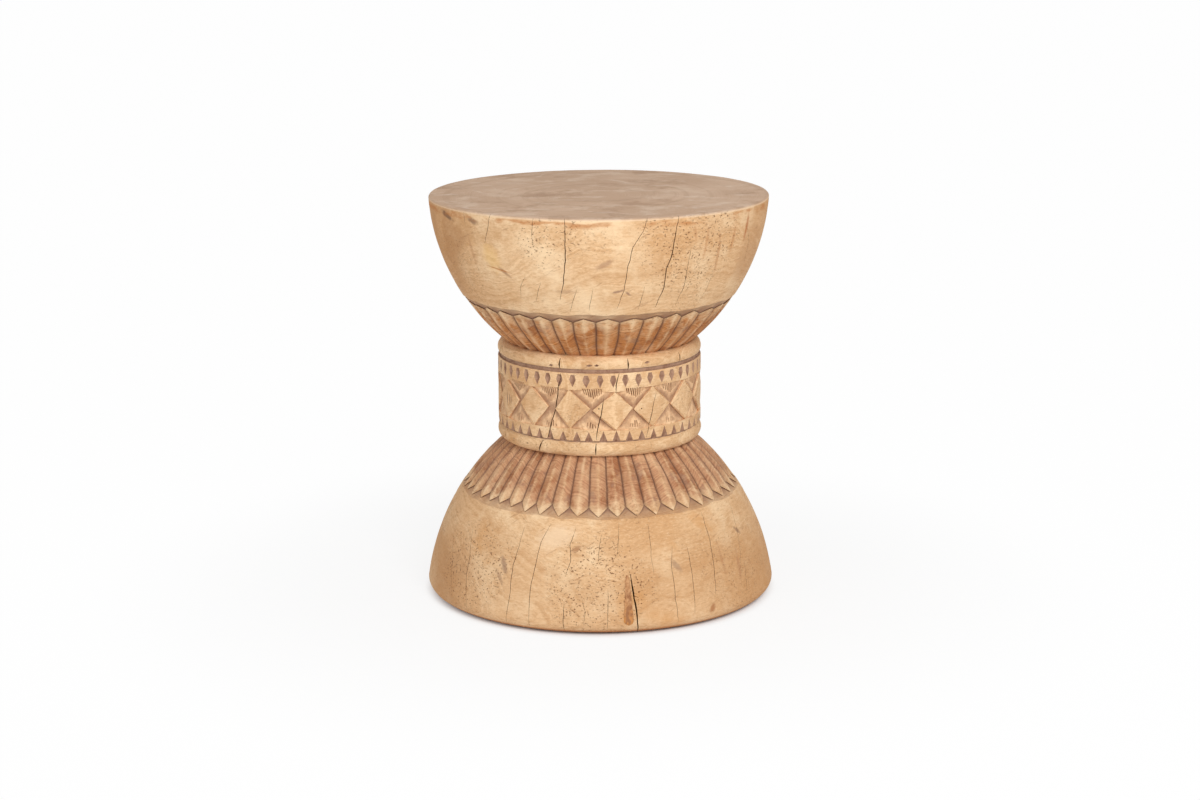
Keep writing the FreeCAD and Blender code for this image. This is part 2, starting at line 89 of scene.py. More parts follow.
def spot(turn, reach, height):
    """A place from its turn, its distance from the axis and its height."""
    return Vector((reach * math.sin(turn), -reach * math.cos(turn), height))


def top_reach(height):
    """The top bowl's radius at a height."""
    rise = TABLE_TOP - height + TOP_UNDER
    return math.sqrt(TOP_ARC * TOP_ARC - rise * rise) - TOP_PAST


def foot_reach(height):
    """The foot's radius at a height, round its lower edge too."""
    rise = max(height - FLOOR_GAP, 0)
    if rise < FOOT_ROUND:
        under = FOOT_ROUND - rise
        return FOOT_ROUND_CENTRE + math.sqrt(FOOT_ROUND * FOOT_ROUND - under * under)
    rise += FOOT_UNDER
    return math.sqrt(FOOT_ARC * FOOT_ARC - rise * rise) - FOOT_PAST


def waist_reach(height):
    """The waist's radius at a height: bead, band or bead."""
    if height > 303:
        return UPPER_BEAD
    if height < 215:
        return LOWER_BEAD
    return BAND


def bulged(start, end, bulge, count):
    """Points on an arc that stands out from its chord."""
    across, along = end[0] - start[0], end[1] - start[1]
    chord = math.hypot(across, along)
    radius = (chord * chord / 4 + bulge * bulge) / (2 * bulge)
    points = []
    for step in range(count + 1):
        share = step / count
        out = math.sqrt(radius * radius - (chord * (share - 0.5)) ** 2) - radius + bulge
        points.append((start[0] + across * share + out * along / chord,
                       start[1] + along * share - out * across / chord))
    return points


def rows(start, end, count):
    """Evenly spaced numbers, with both ends."""
    return [start + (end - start) * step / count for step in range(count + 1)]


# Blocks and cutters

def spun(outline, steps):
    """A closed turned block from its outline of radius and height, axis to axis."""
    form = bmesh.new()
    corners = [form.verts.new((0, -reach, height)) for reach, height in outline]
    edges = [form.edges.new(pair) for pair in zip(corners, corners[1:])]
    bmesh.ops.spin(form, geom=corners + edges, cent=(0, 0, 0), axis=(0, 0, 1), angle=math.tau,
                   steps=steps, use_merge=True)
    bmesh.ops.remove_doubles(form, verts=form.verts, dist=0.002)
    bmesh.ops.recalc_face_normals(form, faces=form.faces)
    return form


def piece_from(form, name, finishes):
    """The finished mesh as an object at the origin, in metres."""
    bmesh.ops.scale(form, vec=(0.001, 0.001, 0.001), verts=form.verts)
    mesh = bpy.data.meshes.new(name)
    form.to_mesh(mesh)
    form.free()
    piece = bpy.data.objects.new(name, mesh)
    bpy.context.scene.collection.objects.link(piece)
    for finish in finishes:
        mesh.materials.append(finish)
    return piece


def paint(verts, finish):
    """Give the faces round some corners a finish by its number."""
    for vert in verts:
        for face in vert.link_faces:
            face.material_index = finish


def corners_of(made):
    """The corners among what an extrusion made."""
    return [item for item in made["geom"] if isinstance(item, bmesh.types.BMVert)]


def carve(piece, form, operation="DIFFERENCE"):
    """Cut a form out of a piece, or keep what both share. A form's faces keep their finish's number."""
    bmesh.ops.recalc_face_normals(form, faces=form.faces)
    tool = piece_from(form, "tool", list(piece.data.materials))
    modifier = piece.modifiers.new("carve", "BOOLEAN")
    modifier.operation = operation
    modifier.solver = "MANIFOLD"
    modifier.object = tool
    graph = bpy.context.evaluated_depsgraph_get()
    mesh = bpy.data.meshes.new_from_object(piece.evaluated_get(graph))
    piece.modifiers.clear()
    piece.data = mesh
    bpy.data.objects.remove(tool)


def worn(piece, depth=0.5, grain=30.0, fine=0.1):
    """Sink the surface a little and unevenly, as hand tools and use leave it."""
    mesh = piece.data
    form = bmesh.new()
    form.from_mesh(mesh)
    for vert in form.verts:
        place = vert.co * 1000
        reach = math.hypot(place.x, place.y)
        if reach < JOINT_REACH:
            continue
        sink = depth * (0.5 + 0.5 * noise.noise(place / grain)) + fine * noise.noise(place / 5.0)
        sink = max(sink, 0.0)
        if TABLE_TOP - place.z < 0.3:
            vert.co.z -= sink * 0.0006
        elif place.z > FLOOR_GAP + 1:
            vert.co -= Vector((place.x, place.y, 0)) / reach * sink * 0.001
    form.to_mesh(mesh)
    form.free()
    mesh.shade_smooth()
    mesh.set_sharp_from_angle(angle=math.radians(21))


def sheet_plug(form, floor, faces, outside, finish):
    """A closed cutter whose floor is the given facets, run straight out past the wood."""
    verts = [form.verts.new(spot(*place)) for place in floor]
    sheet = [form.faces.new([verts[corner] for corner in face]) for face in faces]
    outer = corners_of(bmesh.ops.extrude_face_region(form, geom=sheet))
    for vert in outer:
        reach = math.hypot(vert.co.x, vert.co.y)
        vert.co.x *= outside / reach
        vert.co.y *= outside / reach
    paint(verts + outer, finish)


def cut_in(form, places, faces, finish, reach=BAND, clear=4):
    """A cutter from its floor's corners: turn in degrees, height and depth under the surface."""
    floor = [(math.radians(turn), reach - depth, height) for turn, height, depth in places]
    sheet_plug(form, floor, faces, reach + clear, finish)


def check(form, path, width, depth, reach_at, chance):
    """A drying crack: a thin wedge that follows a path of turns and heights."""
    places = []
    for (turn, height), (next_turn, next_height) in zip(path, path[1:]):
        reach = reach_at(height)
        length = math.hypot(math.radians(next_turn - turn) * reach, next_height - height)
        parts = max(1, round(length / 7))
        for part in range(parts):
            share = part / parts
            places.append((turn + (next_turn - turn) * share, height + (next_height - height) * share))
    places.append(path[-1])
    verts = []
    for number, (turn, height) in enumerate(places):
        if 0 < number < len(places) - 1:
            turn += math.degrees(chance.uniform(-0.45, 0.45) / reach_at(height))
        verts.append(form.verts.new(spot(math.radians(turn), reach_at(height) + 2.5, height)))
    edges = [form.edges.new(pair) for pair in zip(verts, verts[1:])]
    made = bmesh.ops.extrude_edge_only(form, edges=edges)
    twins = corners_of(made)
    strip = [item for item in made["geom"] if isinstance(item, bmesh.types.BMFace)]
    last = len(verts) - 1
    shares = []
    for number in range(len(verts)):
        swell = math.sin(math.pi * (0.06 + 0.88 * number / last)) ** 0.6
        shares.append(swell * chance.uniform(0.75, 1.0))
    for number, (vert, twin) in enumerate(zip(verts, twins)):
        side = Vector((-vert.co.y, vert.co.x, 0)).normalized() * width / 2 * shares[number]
        vert.co -= side
        twin.co += side
    deep = corners_of(bmesh.ops.extrude_face_region(form, geom=strip))
    for vert in deep:
        nearest = min(range(last + 1), key=lambda number: (verts[number].co - vert.co).length)
        middle = (verts[nearest].co + twins[nearest].co) / 2
        reach = math.hypot(vert.co.x, vert.co.y)
        vert.co = middle + (vert.co - middle) * 0.25
        inwards = 2.5 + depth * (0.4 + 0.6 * shares[nearest])
        vert.co -= Vector((vert.co.x, vert.co.y, 0)) / reach * inwards
    # The crack's faces take the dark finish: painted shade, with dust
    paint(verts + twins + deep, CRACK)


def post(form, reach, turn, radius, low, high, segments=24):
    """An upright round cutter, such as a dowel hole."""
    place = spot(turn, reach, (low + high) / 2)
    made = bmesh.ops.create_cone(form, cap_ends=True, segments=segments, radius1=radius, radius2=radius,
                                 depth=high - low, matrix=Matrix.Translation(place))
    paint(made["verts"], GROUND)


def dowel_holes(form, *spans):
    """Holes for the four dowels round a tenon, over each span of heights."""
    for step in range(4):
        for low, high in spans:
            post(form, DOWEL_RING, math.radians(90 * step), DOWEL_HOLE, low, high)


# Flutes

def carved_rows(corner, low, high, count):
    """How far a block's carved rows lie from the border: ledge, chip, two at the tips, and the flutes."""
    return [0.0, 0.2, corner * 0.4, corner * 0.61, corner * 0.64] + rows(low, high, count)


def round_noise(turn, scale, level):
    """Noise that meets itself after a full turn."""
    return noise.noise(Vector((math.cos(turn) * scale, math.sin(turn) * scale, level)))


def lay_out(tips, count, mean, spread, seed):
    """Ridges of the flutes as turn and tip: the measured ones in front, the others round the back."""
    chance = random.Random(seed)
    ridges = [(math.radians(turn), tip) for turn, tip in tips]
    others = count - len(tips)
    step = (360 + tips[0][0] - tips[-1][0]) / (others + 1)
    for place in range(1, others + 1):
        turn = tips[-1][0] + step * place + chance.uniform(-0.7, 0.7)
        ridges.append((math.radians(turn), mean + chance.uniform(-spread, spread)))
    return ridges


def flute(form, ridges, border, inward, corner, depths, ledge, seed):
    """Shape a turned block's carved rows into gabled flutes with arrow ends and chips between them.

    The colours left on the corners say how fluted the wood is, less so on a ridge as a painted highlight;
    how much painted shade lies in a groove, at a chip's end and under the ledge; how much of a chip's
    grey-brown it takes, with painted shade; and, by how much the last is under 1, how strong the painted
    highlight on a tip is.
    """
    count = len(ridges)
    chance = random.Random(seed)
    pitch = math.tau / count
    turns = [turn for turn, tip in ridges]
    turns.append(turns[0] + math.tau)
    valleys = [(turns[-2] - math.tau + turns[0]) / 2]
    valleys += [(first + second) / 2 for first, second in zip(turns, turns[1:])]
    drops = [chance.uniform(0.2, 0.75) for step in range(count)]
    sinks = [chance.uniform(0.85, 1.15) for step in range(count)]
    corners = [corner + chance.uniform(-0.9, 0.9) for step in range(count)]
    marks = {}
    for vert in form.verts:
        x, y, height = vert.co
        reach = math.hypot(x, y)
        if reach < JOINT_REACH:
            continue
        place = (math.atan2(x, -y) % math.tau) / pitch
        number = int(place + 1e-5)
        share = max(0.0, place - number)
        number %= count
        near = number if share < 0.5 else (number + 1) % count
        slope = abs(2 * share - 1)
        if share < 0.5:
            turn = valleys[number] + (turns[number] - valleys[number]) * 2 * share
        else:
            turn = turns[number] + (valleys[number + 1] - turns[number]) * (2 * share - 1)
        into = (height - border) * inward
        wander = round_noise(turn, 8, height / 24)
        turn += math.radians(0.6) * wander * min(1.0, max(0.0, into / 25))
        wave = round_noise(turn, 6, border) + 0.5 * round_noise(turn, 17, border)
        tip = (ridges[number][1] - border) * inward
        line = tip + (corners[near] - tip) * slope
        sink = 0.0
        mark = (0.0, 0.0, 0.0, 1.0)
        if into < 0.05:
            height += wave * 1.7 * max(0.0, 1 + into / 14)
        else:
            fade = 1.0 - 0.3 * min(1.0, into / 55)
            valley = depths * sinks[near] * fade
            gable = slope ** (1.0 + 0.2 * min(1.0, into / 25))
            tool = 0.22 * noise.noise(Vector((number * 3.1, into / 9, slope * 2)))
            fluted = drops[number] * (1 - slope) + valley * gable + tool
            if slope > 0.99:
                fluted += 0.9
            chip = valley * (0.45 + 0.75 * slope) + 0.5
            # Less fluted tint along each ridge, which paints a highlight there
            ridge = 0.35 + 0.65 * min(1.0, slope * 3)
            # How little painted highlight the tip's ridge gets: 1 is none
            no_tip_highlight = 1.0 - max(0.0, 1 - 2.4 * slope) * max(0.0, 1 - abs(into - tip - 5) / 16)
            # From the border inwards: the ledge, the chip's floor and its end, the tip's edge, the flute.
            # The second mark is painted shade: under the ledge, at the chip's end and in the flutes'
            # valleys
            if into < 0.3:
                height += wave * 1.7
                sink = ledge
                mark = (0.1, 0.4 * ledge, 0.15 + 0.3 * ledge, 1.0)
            elif into < corner * 0.5:
                height = border + inward * line * 0.66 + wave * 0.6
                sink = ledge + (chip - ledge) * 0.6
                mark = (0.4 * slope, 0.2 * slope, 0.1 + 0.5 * slope + 0.3 * ledge, 1.0)
            elif into < corner * 0.62:
                height = border + inward * line
                sink = chip
                mark = (0.2 + 0.4 * slope, 0.95, 0.4 + 0.6 * slope, 1.0)
            elif into < corner * 0.65:
                height = border + inward * (line + 0.25)
                sink = fluted * (0.55 + 0.45 * slope)
                mark = (0.1, 0.1 + 0.6 * slope ** 6, 0.0, no_tip_highlight)
            else:
                sink = fluted
                mark = (min(1.0, 0.1 + (into - tip) / 26) * ridge, slope ** 9, 0.0, no_tip_highlight)
        out = Vector((math.sin(turn), -math.cos(turn)))
        marks[vert.index] = mark
        if abs(height - vert.co.z) >= 1e-4:
            reach = top_reach(height) if border > UPPER_JOINT else foot_reach(height)
        reach -= sink
        vert.co = Vector((out.x * reach, out.y * reach, height))
    layer = form.loops.layers.float_color.new("carving")
    for face in form.faces:
        for loop in face.loops:
            loop[layer] = marks.get(loop.vert.index, (0.0, 0.0, 0.0, 1.0))


# The three blocks

# The tips of the flutes in front: turn and height
TOP_TIPS = [(-54.0, 376.4), (-45.3, 375.6), (-34.8, 374.9), (-25.2, 375.4), (-16.2, 374.7), (-6.5, 374.3),
            (3.5, 374.4), (14.3, 373.8), (24.2, 375.2), (33.5, 375.8), (42.9, 375.8), (54.8, 373.9),
            (65.0, 374.2)]
FOOT_TIPS = [(-59.2, 136.8), (-52.6, 137.2), (-46.0, 138.0), (-39.4, 137.5), (-32.0, 134.9), (-24.9, 133.9),
             (-16.9, 133.9), (-9.0, 134.9), (-0.7, 134.5), (7.0, 134.7), (15.1, 134.2), (23.0, 134.0),
             (31.1, 136.0), (38.6, 135.1), (46.5, 134.5), (54.3, 135.3), (62.1, 135.6), (70.4, 134.6)]

# Drying cracks: width, depth, and the turns and heights that they run through
TOP_CHECKS = [
    (1.1, 9, [(-10.9, 501), (-10.8, 475), (-11.2, 450), (-12.5, 422), (-14.5, 400)]),
    (1.3, 10, [(26.4, 501), (25.4, 481), (24.9, 455), (23.4, 437), (23.7, 413), (22.1, 388)]),
    (0.8, 8, [(15.7, 501), (14.2, 484), (11.1, 466), (9.8, 443), (8.8, 412), (6.8, 389)]),
    (0.7, 6, [(-37.1, 501), (-38.9, 480), (-40.8, 464)]),
    (0.5, 5, [(-21.1, 501), (-22.0, 481), (-21.8, 464)]),
    (0.7, 6, [(31.8, 461), (31.7, 438), (32.1, 413), (30.8, 388)]),
    (0.5, 4, [(-26.3, 428), (-29.4, 413), (-30.6, 398)]),
    (0.5, 4, [(-20.7, 422), (-24.3, 396)]),
    (0.5, 4, [(-2.1, 416), (-3.9, 386)]),
    (0.5, 4, [(16.4, 417), (15.2, 386)]),
    (0.5, 4, [(-7.8, 415), (-11.3, 385)]),
    (0.6, 4, [(57.4, 480), (62.3, 456), (64.0, 428)]),
    (0.5, 4, [(-49.6, 498), (-49.2, 481)]),
    (0.5, 4, [(44.5, 428), (43.9, 403), (42.2, 390)]),
]
FOOT_CHECKS = [
    (1.9, 13, [(10.1, 72), (10.7, 52), (11.4, 31), (12.1, 1)]),
    (0.7, 6, [(-9.2, 124), (-10.9, 105), (-10.4, 87), (-11.8, 69)]),
    (0.8, 6, [(-11.7, 41), (-11.9, 25), (-11.6, 6)]),
    (0.8, 6, [(-30.1, 119), (-30.3, 98), (-31.1, 76), (-30.8, 37), (-31.6, 8)]),
    (0.8, 6, [(-19.2, 126), (-22.0, 106), (-22.9, 74), (-23.5, 51), (-23.2, 8)]),
    (0.7, 6, [(-55.2, 105), (-51.5, 74), (-50.9, 51), (-48.6, 14)]),
    (0.8, 6, [(43.9, 128), (43.3, 98), (42.1, 69), (40.5, 35)]),
    (0.7, 6, [(32.4, 96), (32.4, 63), (31.5, 18)]),
    (0.7, 6, [(26.6, 99), (24.9, 78), (24.9, 39), (25.4, 12)]),
    (0.5, 4, [(18.7, 125), (18.1, 91), (18.2, 69)]),
    (0.5, 4, [(7.3, 129), (6.0, 93)]),
    (0.6, 5, [(2.4, 56), (2.4, 33), (2.1, 10)]),
    (0.5, 4, [(-5.9, 45), (-4.9, 30), (-5.5, 14)]),
    (0.5, 4, [(0.6, 117), (-0.4, 102), (-0.7, 86)]),
    (0.5, 4, [(-67.2, 92), (-61.2, 61), (-57.9, 27)]),
    (0.5, 4, [(63.8, 129), (60.2, 96), (55.0, 52)]),
    (0.5, 4, [(-32.9, 131), (-29.3, 124)]),
    (0.5, 4, [(58.2, 62), (56.3, 27)]),
]
BAND_CHECKS = [
    (1.3, 8, [(-22.2, 317), (-22.5, 303)]),
    (1.2, 8, [(15.8, 317), (15.9, 303)]),
    (0.9, 6, [(50.5, 317), (51.1, 303)]),
    (1.1, 9, [(-21.8, 299), (-23.7, 277), (-25.1, 258), (-29.9, 218)]),
    (0.9, 7, [(10.8, 300), (9.1, 285), (9.0, 276)]),
    (0.9, 8, [(2.5, 271), (1.3, 254), (-1.3, 230), (-1.7, 218)]),
    (0.6, 6, [(32.9, 272), (30.9, 256), (28.2, 232), (26.4, 218)]),
    (1.6, 8, [(-33.1, 213.6), (-36.6, 198)]),
    (1.4, 8, [(-2.0, 213.6), (-2.3, 198)]),
    (0.5, 4, [(19.6, 213), (20.3, 203)]),
    (0.5, 4, [(29.5, 213), (29.4, 205)]),
    (0.5, 4, [(51.9, 213), (50.9, 203)]),
]


def more_checks(count, low, high, seed):
    """Checks round the sides and the back, which the photograph doesn't show."""
    chance = random.Random(seed)
    paths = []
    for number in range(count):
        turn = 78 + 204 * (number + chance.uniform(0.15, 0.85)) / count
        start = chance.uniform(low, high)
        length = chance.uniform(0.25, 0.75) * (high - low)
        end = min(high, start + length)
        start = max(low, end - length)
        width = chance.choice((0.5, 0.5, 0.7, 0.9, 1.2))
        path = []
        for height in rows(end, start, 3):
            path.append((turn, height))
            turn += chance.uniform(-1.2, 1.2)
        paths.append((width, 3 + 5 * width, path))
    return paths


def cut_checks(piece, paths, reach_at, seed, open_by=1.3):
    """Cut drying cracks into a piece, a little wider than measured so that they show as dark."""
    form = bmesh.new()
    chance = random.Random(seed)
    for width, depth, path in paths:
        check(form, path, width * open_by, depth, reach_at, chance)
    carve(piece, form)


def make_top_bowl(finishes):
    centre, level = RIM - RIM_ROUND, TABLE_TOP - RIM_ROUND
    edge = [(centre + RIM_ROUND * math.sin(turn), level + RIM_ROUND * math.cos(turn))
            for turn in rows(0, math.pi / 2, 5)]
    border, corner = TOP_BORDER, 10.5
    outline = [(reach, TABLE_TOP) for reach in rows(0, 200, 12)] + edge
    outline += [(top_reach(height) - 0.2, height) for height in rows(494, 382, 30)]
    carved = carved_rows(corner, 13.5, 59.7, 13)
    outline += [(top_reach(border - into), border - into) for into in carved]
    outline += [(SEAT_REACH, UPPER_JOINT), (SOCKET, UPPER_JOINT), (SOCKET, UPPER_JOINT + SOCKET_DEPTH),
                (0, UPPER_JOINT + SOCKET_DEPTH)]
    form = spun(outline, 576)
    ridges = lay_out(TOP_TIPS, 36, 374.6, 1.2, seed=3)
    flute(form, ridges, border, -1, corner, 4.0, 0.8, seed=4)
    piece = piece_from(form, "top_bowl_carved", finishes)
    cut_checks(piece, TOP_CHECKS + more_checks(22, 388, 501, seed=5), top_reach, seed=6)
    holes = bmesh.new()
    dowel_holes(holes, (UPPER_JOINT - PAST, UPPER_JOINT + DOWEL_DEPTH))
    carve(piece, holes)
    worn(piece)
    return piece


def patch_plug(gap):
    """The drop-shaped filling as a plug through the foot's side, with a wandering edge."""
    form = bmesh.new()
    turn, outside, deep = 8.9, 226.5, 23
    low, wide = 19, 6
    high, thin = 69.3, 2.2
    right, left = [], []
    for height in rows(low - wide + 0.1, high + thin - 0.1, 26):
        if height < low:
            half = math.sqrt(wide ** 2 - (low - height) ** 2)
        elif height > high:
            half = math.sqrt(thin ** 2 - (height - high) ** 2)
        else:
            half = wide - (wide - thin) * (height - low) / (high - low)
        right.append((half + gap + 0.9 * noise.noise(Vector((9.0, height / 6, 0))), height))
        left.append((-half - gap + 0.9 * noise.noise(Vector((3.0, height / 6, 0))), height))
    aside = Matrix.Rotation(math.radians(turn), 4, "Z")
    edge = right + left[::-1]
    ring = [form.verts.new(aside @ Vector((across, -outside, height))) for across, height in edge]
    face = form.faces.new(ring)
    for vert in corners_of(bmesh.ops.extrude_face_region(form, geom=[face])):
        vert.co += aside @ Vector((0, deep, 0))
    paint(form.verts, GROUND)
    return form


def make_base_bowl(finishes, filler):
    border, corner, shave = FOOT_BORDER, 11.6, 0.3
    under = [(reach, FLOOR_GAP) for reach in (0, 60, 120, 170, 198)]
    centre = FOOT_ROUND_CENTRE - shave
    edge = [(centre + FOOT_ROUND * math.sin(turn), FLOOR_GAP + FOOT_ROUND - FOOT_ROUND * math.cos(turn))
            for turn in rows(0, math.pi / 2, 8)]
    side = [(foot_reach(height) - shave, height) for height in rows(19, 130.5, 32)]
    carved = carved_rows(corner, 15.0, 63.1, 14)
    upper = [(foot_reach(border + into), border + into) for into in carved]
    socket = [(SEAT_REACH, LOWER_JOINT), (SOCKET, LOWER_JOINT), (SOCKET, LOWER_JOINT - SOCKET_DEPTH),
              (0, LOWER_JOINT - SOCKET_DEPTH)]
    form = spun(under + edge + side + upper + socket, 644)
    ridges = lay_out(FOOT_TIPS, 46, 134.9, 1.2, seed=7)
    flute(form, ridges, border, 1, corner, 4.2, 0.25, seed=8)
    piece = piece_from(form, "base_bowl_carved", finishes)
    patch = bpy.data.objects.new("filler_patch_rubbed", piece.data.copy())
    bpy.context.scene.collection.objects.link(patch)
    carve(patch, patch_plug(0.0), "INTERSECT")
    patch.data.materials.clear()
    patch.data.materials.append(filler)
    for face in patch.data.polygons:
        face.material_index = 0
    carve(piece, patch_plug(0.15))
    cut_checks(piece, FOOT_CHECKS + more_checks(26, 5, 128, seed=9), foot_reach, seed=10)
    holes = bmesh.new()
    dowel_holes(holes, (LOWER_JOINT - DOWEL_DEPTH, LOWER_JOINT + PAST))
    for step in range(4):
        turn = math.radians(45 + 90 * step)
        post(holes, GLIDE_RING, turn, NAIL_HOLE, 0, FLOOR_GAP + NAIL_DEPTH, segments=10)
    carve(piece, holes)
    worn(piece)
    worn(patch, depth=0.6, grain=12.0, fine=0.2)
    return piece, patch


# The carved band

# The diamonds in front: turn and height of the left, upper, right and lower corner
DIAMONDS = [
    ((-73.5, 255), (-63.6, 278), (-51.4, 257), (-62.7, 230.3)),
    ((-50.0, 255), (-40.9, 278.0), (-29.5, 256.5), (-39.0, 231.2)),
    ((-25.2, 254.5), (-17.1, 279.2), (-5.1, 256.5), (-16.4, 232.4)),
    ((-4.0, 254.5), (8.7, 276.8), (18.5, 256.5), (9.2, 229.9)),
    ((19.2, 254.5), (30.6, 280.7), (42.6, 256.6), (30.7, 231.1)),
    ((43.6, 254.6), (55.0, 280.4), (66.2, 257.2), (56.4, 230.8)),
    ((67.2, 255), (78.2, 279.5), (89.4, 257), (78.5, 230.8)),
]
LEAF_TURNS = [-14.9, -7.3, 0.3, 7.5, 14.3, 21.8]
NOTCH_TURNS = [-20.5, -12.6, -6.0, 2.0, 9.2, 16.5]


def all_diamonds():
    """The measured diamonds, then eight more round the back."""
    chance = random.Random(11)
    diamonds = list(DIAMONDS)
    first, pitch, half = 102.6, 24.29, 11.5
    for step in range(8):
        middle = first + pitch * step
        diamonds.append((
            (middle - half - chance.uniform(0, 0.4), 254 + chance.uniform(-0.8, 0.8)),
            (middle + chance.uniform(-1, 1), 278 + chance.uniform(-1.5, 1.5)),
            (middle + half + chance.uniform(0, 0.4), 256 + chance.uniform(-0.8, 0.8)),
            (middle + chance.uniform(-1, 1), 230.5 + chance.uniform(-1.2, 1.2))))
    return diamonds


def neighbours(diamonds):
    """Each diamond with the next one round, whose turns run on past the full circle."""
    for number, diamond in enumerate(diamonds):
        after = diamonds[(number + 1) % len(diamonds)]
        wrap = 0 if number + 1 < len(diamonds) else 360
        yield diamond, [(turn + wrap, height) for turn, height in after]


def round_turns(measured, count, seed):
    """Measured turns in front and even ones for the rest of the round."""
    chance = random.Random(seed)
    others = count - len(measured)
    step = (360 + measured[0] - measured[-1]) / (others + 1)
    rest = [measured[-1] + step * place + chance.uniform(-0.35, 0.35) for place in range(1, others + 1)]
    return measured + rest


def sink_grounds(form, diamonds):
    """The ground between each two diamonds: facets deepest along the diamonds' edges."""
    for (_, top, right, foot), (next_left, next_top, _, next_foot) in neighbours(diamonds):
        places = [
            (right[0], right[1], 3.7),
            (next_left[0], next_left[1], 3.7),
            (top[0] + 0.25, top[1] + 0.3, 2.1),
            ((top[0] + next_top[0]) / 2, (top[1] + next_top[1]) / 2 + 1.6, -0.5),
            (next_top[0] - 0.25, next_top[1] + 0.3, 2.1),
            (foot[0] + 0.25, foot[1] - 0.3, 2.2),
            ((foot[0] + next_foot[0]) / 2, (foot[1] + next_foot[1]) / 2 - 0.9, -0.4),
            (next_foot[0] - 0.25, next_foot[1] - 0.3, 2.2),
        ]
        faces = [(0, 3, 2), (0, 1, 3), (1, 4, 3), (0, 5, 6), (0, 6, 1), (1, 6, 7)]
        cut_in(form, places, faces, GROUND, clear=5)


def chisel_marks(form, diamonds):
    """Slanted cuts that hang from the border of each upper ground, and a few in the lower ones."""
    chance = random.Random(12)
    border, upper_slope, lower_slope = 281.4, 0.158, 0.167
    for (_, top, _, foot), (_, next_top, _, next_foot) in neighbours(diamonds):
        middle = (top[0] + next_top[0]) / 2
        for step in range(-4, 5):
            turn = middle + step * 1.25 + chance.uniform(-0.1, 0.1)
            low = border - (12.5 - 1.4 * abs(step)) * chance.uniform(0.9, 1.05)
            lean = 0.012 * (border - low) * (6 - step)
            sunk = 0.16 * abs(step)
            depth = sunk + (border + 0.2 - low) * upper_slope - 0.3
            tick(form, (turn, border, sunk - 0.2), (turn + lean, low, depth))
        middle = (foot[0] + next_foot[0]) / 2
        for step in (-2, -1, 0, 1, 2):
            turn = middle + step * 1.6 + chance.uniform(-0.3, 0.3)
            high = 232 + chance.uniform(5, 10) - abs(step)
            lean = chance.uniform(-0.3, 0.3) - step * 0.25
            tick(form, (turn + lean, high, (high - 229.5) * lower_slope - 0.3), (turn, 232.5, 0.3))


def tick(form, start, end):
    """One narrow cut of the chisel between two places of turn, height and depth."""
    half = math.degrees(0.75 / BAND)
    places = [(start[0] - half, start[1], start[2]), (start[0] + half, start[1], start[2]),
              (end[0] + half, end[1], end[2]), (end[0] - half, end[1], end[2]),
              (start[0], start[1] - 0.6, start[2] + 1.6), (end[0], end[1] + 0.8, end[2] + 1.5)]
    cut_in(form, places, [(0, 1, 4), (1, 2, 5), (1, 5, 4), (2, 3, 5), (3, 0, 4), (3, 4, 5)], TICK)


def stroke(form, turn, height, end_turn, end_height, width, depth, reach=BAND):
    """One stroke of the chisel: a long four-sided chip."""
    along, up = math.radians(end_turn - turn) * reach, end_height - height
    length = math.hypot(along, up)
    across, rise = math.degrees(up / length * width / 2 / reach), -along / length * width / 2
    middle_turn, middle = (turn + end_turn) / 2, (height + end_height) / 2
    places = [(turn, height, -0.5), (middle_turn + across, middle + rise, -0.5),
              (end_turn, end_height, -0.5), (middle_turn - across, middle - rise, -0.5),
              (middle_turn, middle, depth)]
    cut_in(form, places, [(0, 1, 4), (1, 2, 4), (2, 3, 4), (3, 0, 4)], CUT, reach)


def scuffs(form):
    """Shallow knocks on the beads and deep gouges in the left-hand diamond."""
    for turn, height, run in ((-5.6, 309.5, 9), (-1.5, 309.8, 6), (27.0, 310.5, 8), (-27.5, 307.5, 6),
                              (97, 310, 9), (203, 309, 8), (-44.0, 206.0, 8), (-56.0, 207.0, 7),
                              (160, 206, 9)):
        reach = waist_reach(height)
        half = math.degrees(run / 2 / reach)
        stroke(form, turn - half, height, turn + half, height + 0.8, 3.2, 0.9, reach)
    for turn, high, low, lean in ((-64.3, 271, 240, 1.1), (-61.8, 268, 243, 1.6), (-59.3, 262, 247, 0.4)):
        stroke(form, turn, high, turn + lean, low, 2.4, 2.2)


def worn_edges(form, diamonds, sides):
    """Thin chamfers along two sides of each diamond."""
    for corners in diamonds:
        centre_turn = sum(turn for turn, height in corners) / 4
        centre_height = sum(height for turn, height in corners) / 4
        for side in sides:
            places = []
            for turn, height in (corners[side], corners[(side + 1) % 4]):
                across, up = math.radians(centre_turn - turn) * BAND, centre_height - height
                inward = 1.1 / math.hypot(across, up)
                outward = inward * 0.3
                places.append((turn - math.degrees(across * outward / BAND), height - up * outward, 1.0))
                places.append((turn + math.degrees(across * inward / BAND), height + up * inward, -0.25))
            cut_in(form, places, [(0, 1, 3), (0, 3, 2)], EDGE)


def leaf_cuts(form):
    """Gouge cuts like upright leaves, pointed below."""
    chance = random.Random(13)
    for turn in round_turns(LEAF_TURNS, 49, seed=14):
        half = math.degrees(chance.uniform(4.5, 5.2) / BAND)
        low = 281.8 + chance.uniform(-0.8, 0.8)
        high = 298.6 + chance.uniform(-0.5, 0.3)
        belly = low + (high - low) * 0.6
        places = [(turn, low, -0.5), (turn + half, belly, -0.5), (turn + half * 0.55, high, -0.5),
                  (turn - half * 0.55, high, -0.5), (turn - half, belly, -0.5),
                  (turn, belly + 1.5, 3.0), (turn, low + 4.5, 2.0)]
        faces = [(0, 1, 6), (1, 5, 6), (1, 2, 5), (2, 3, 5), (3, 4, 5), (4, 6, 5), (4, 0, 6)]
        cut_in(form, places, faces, CUT)


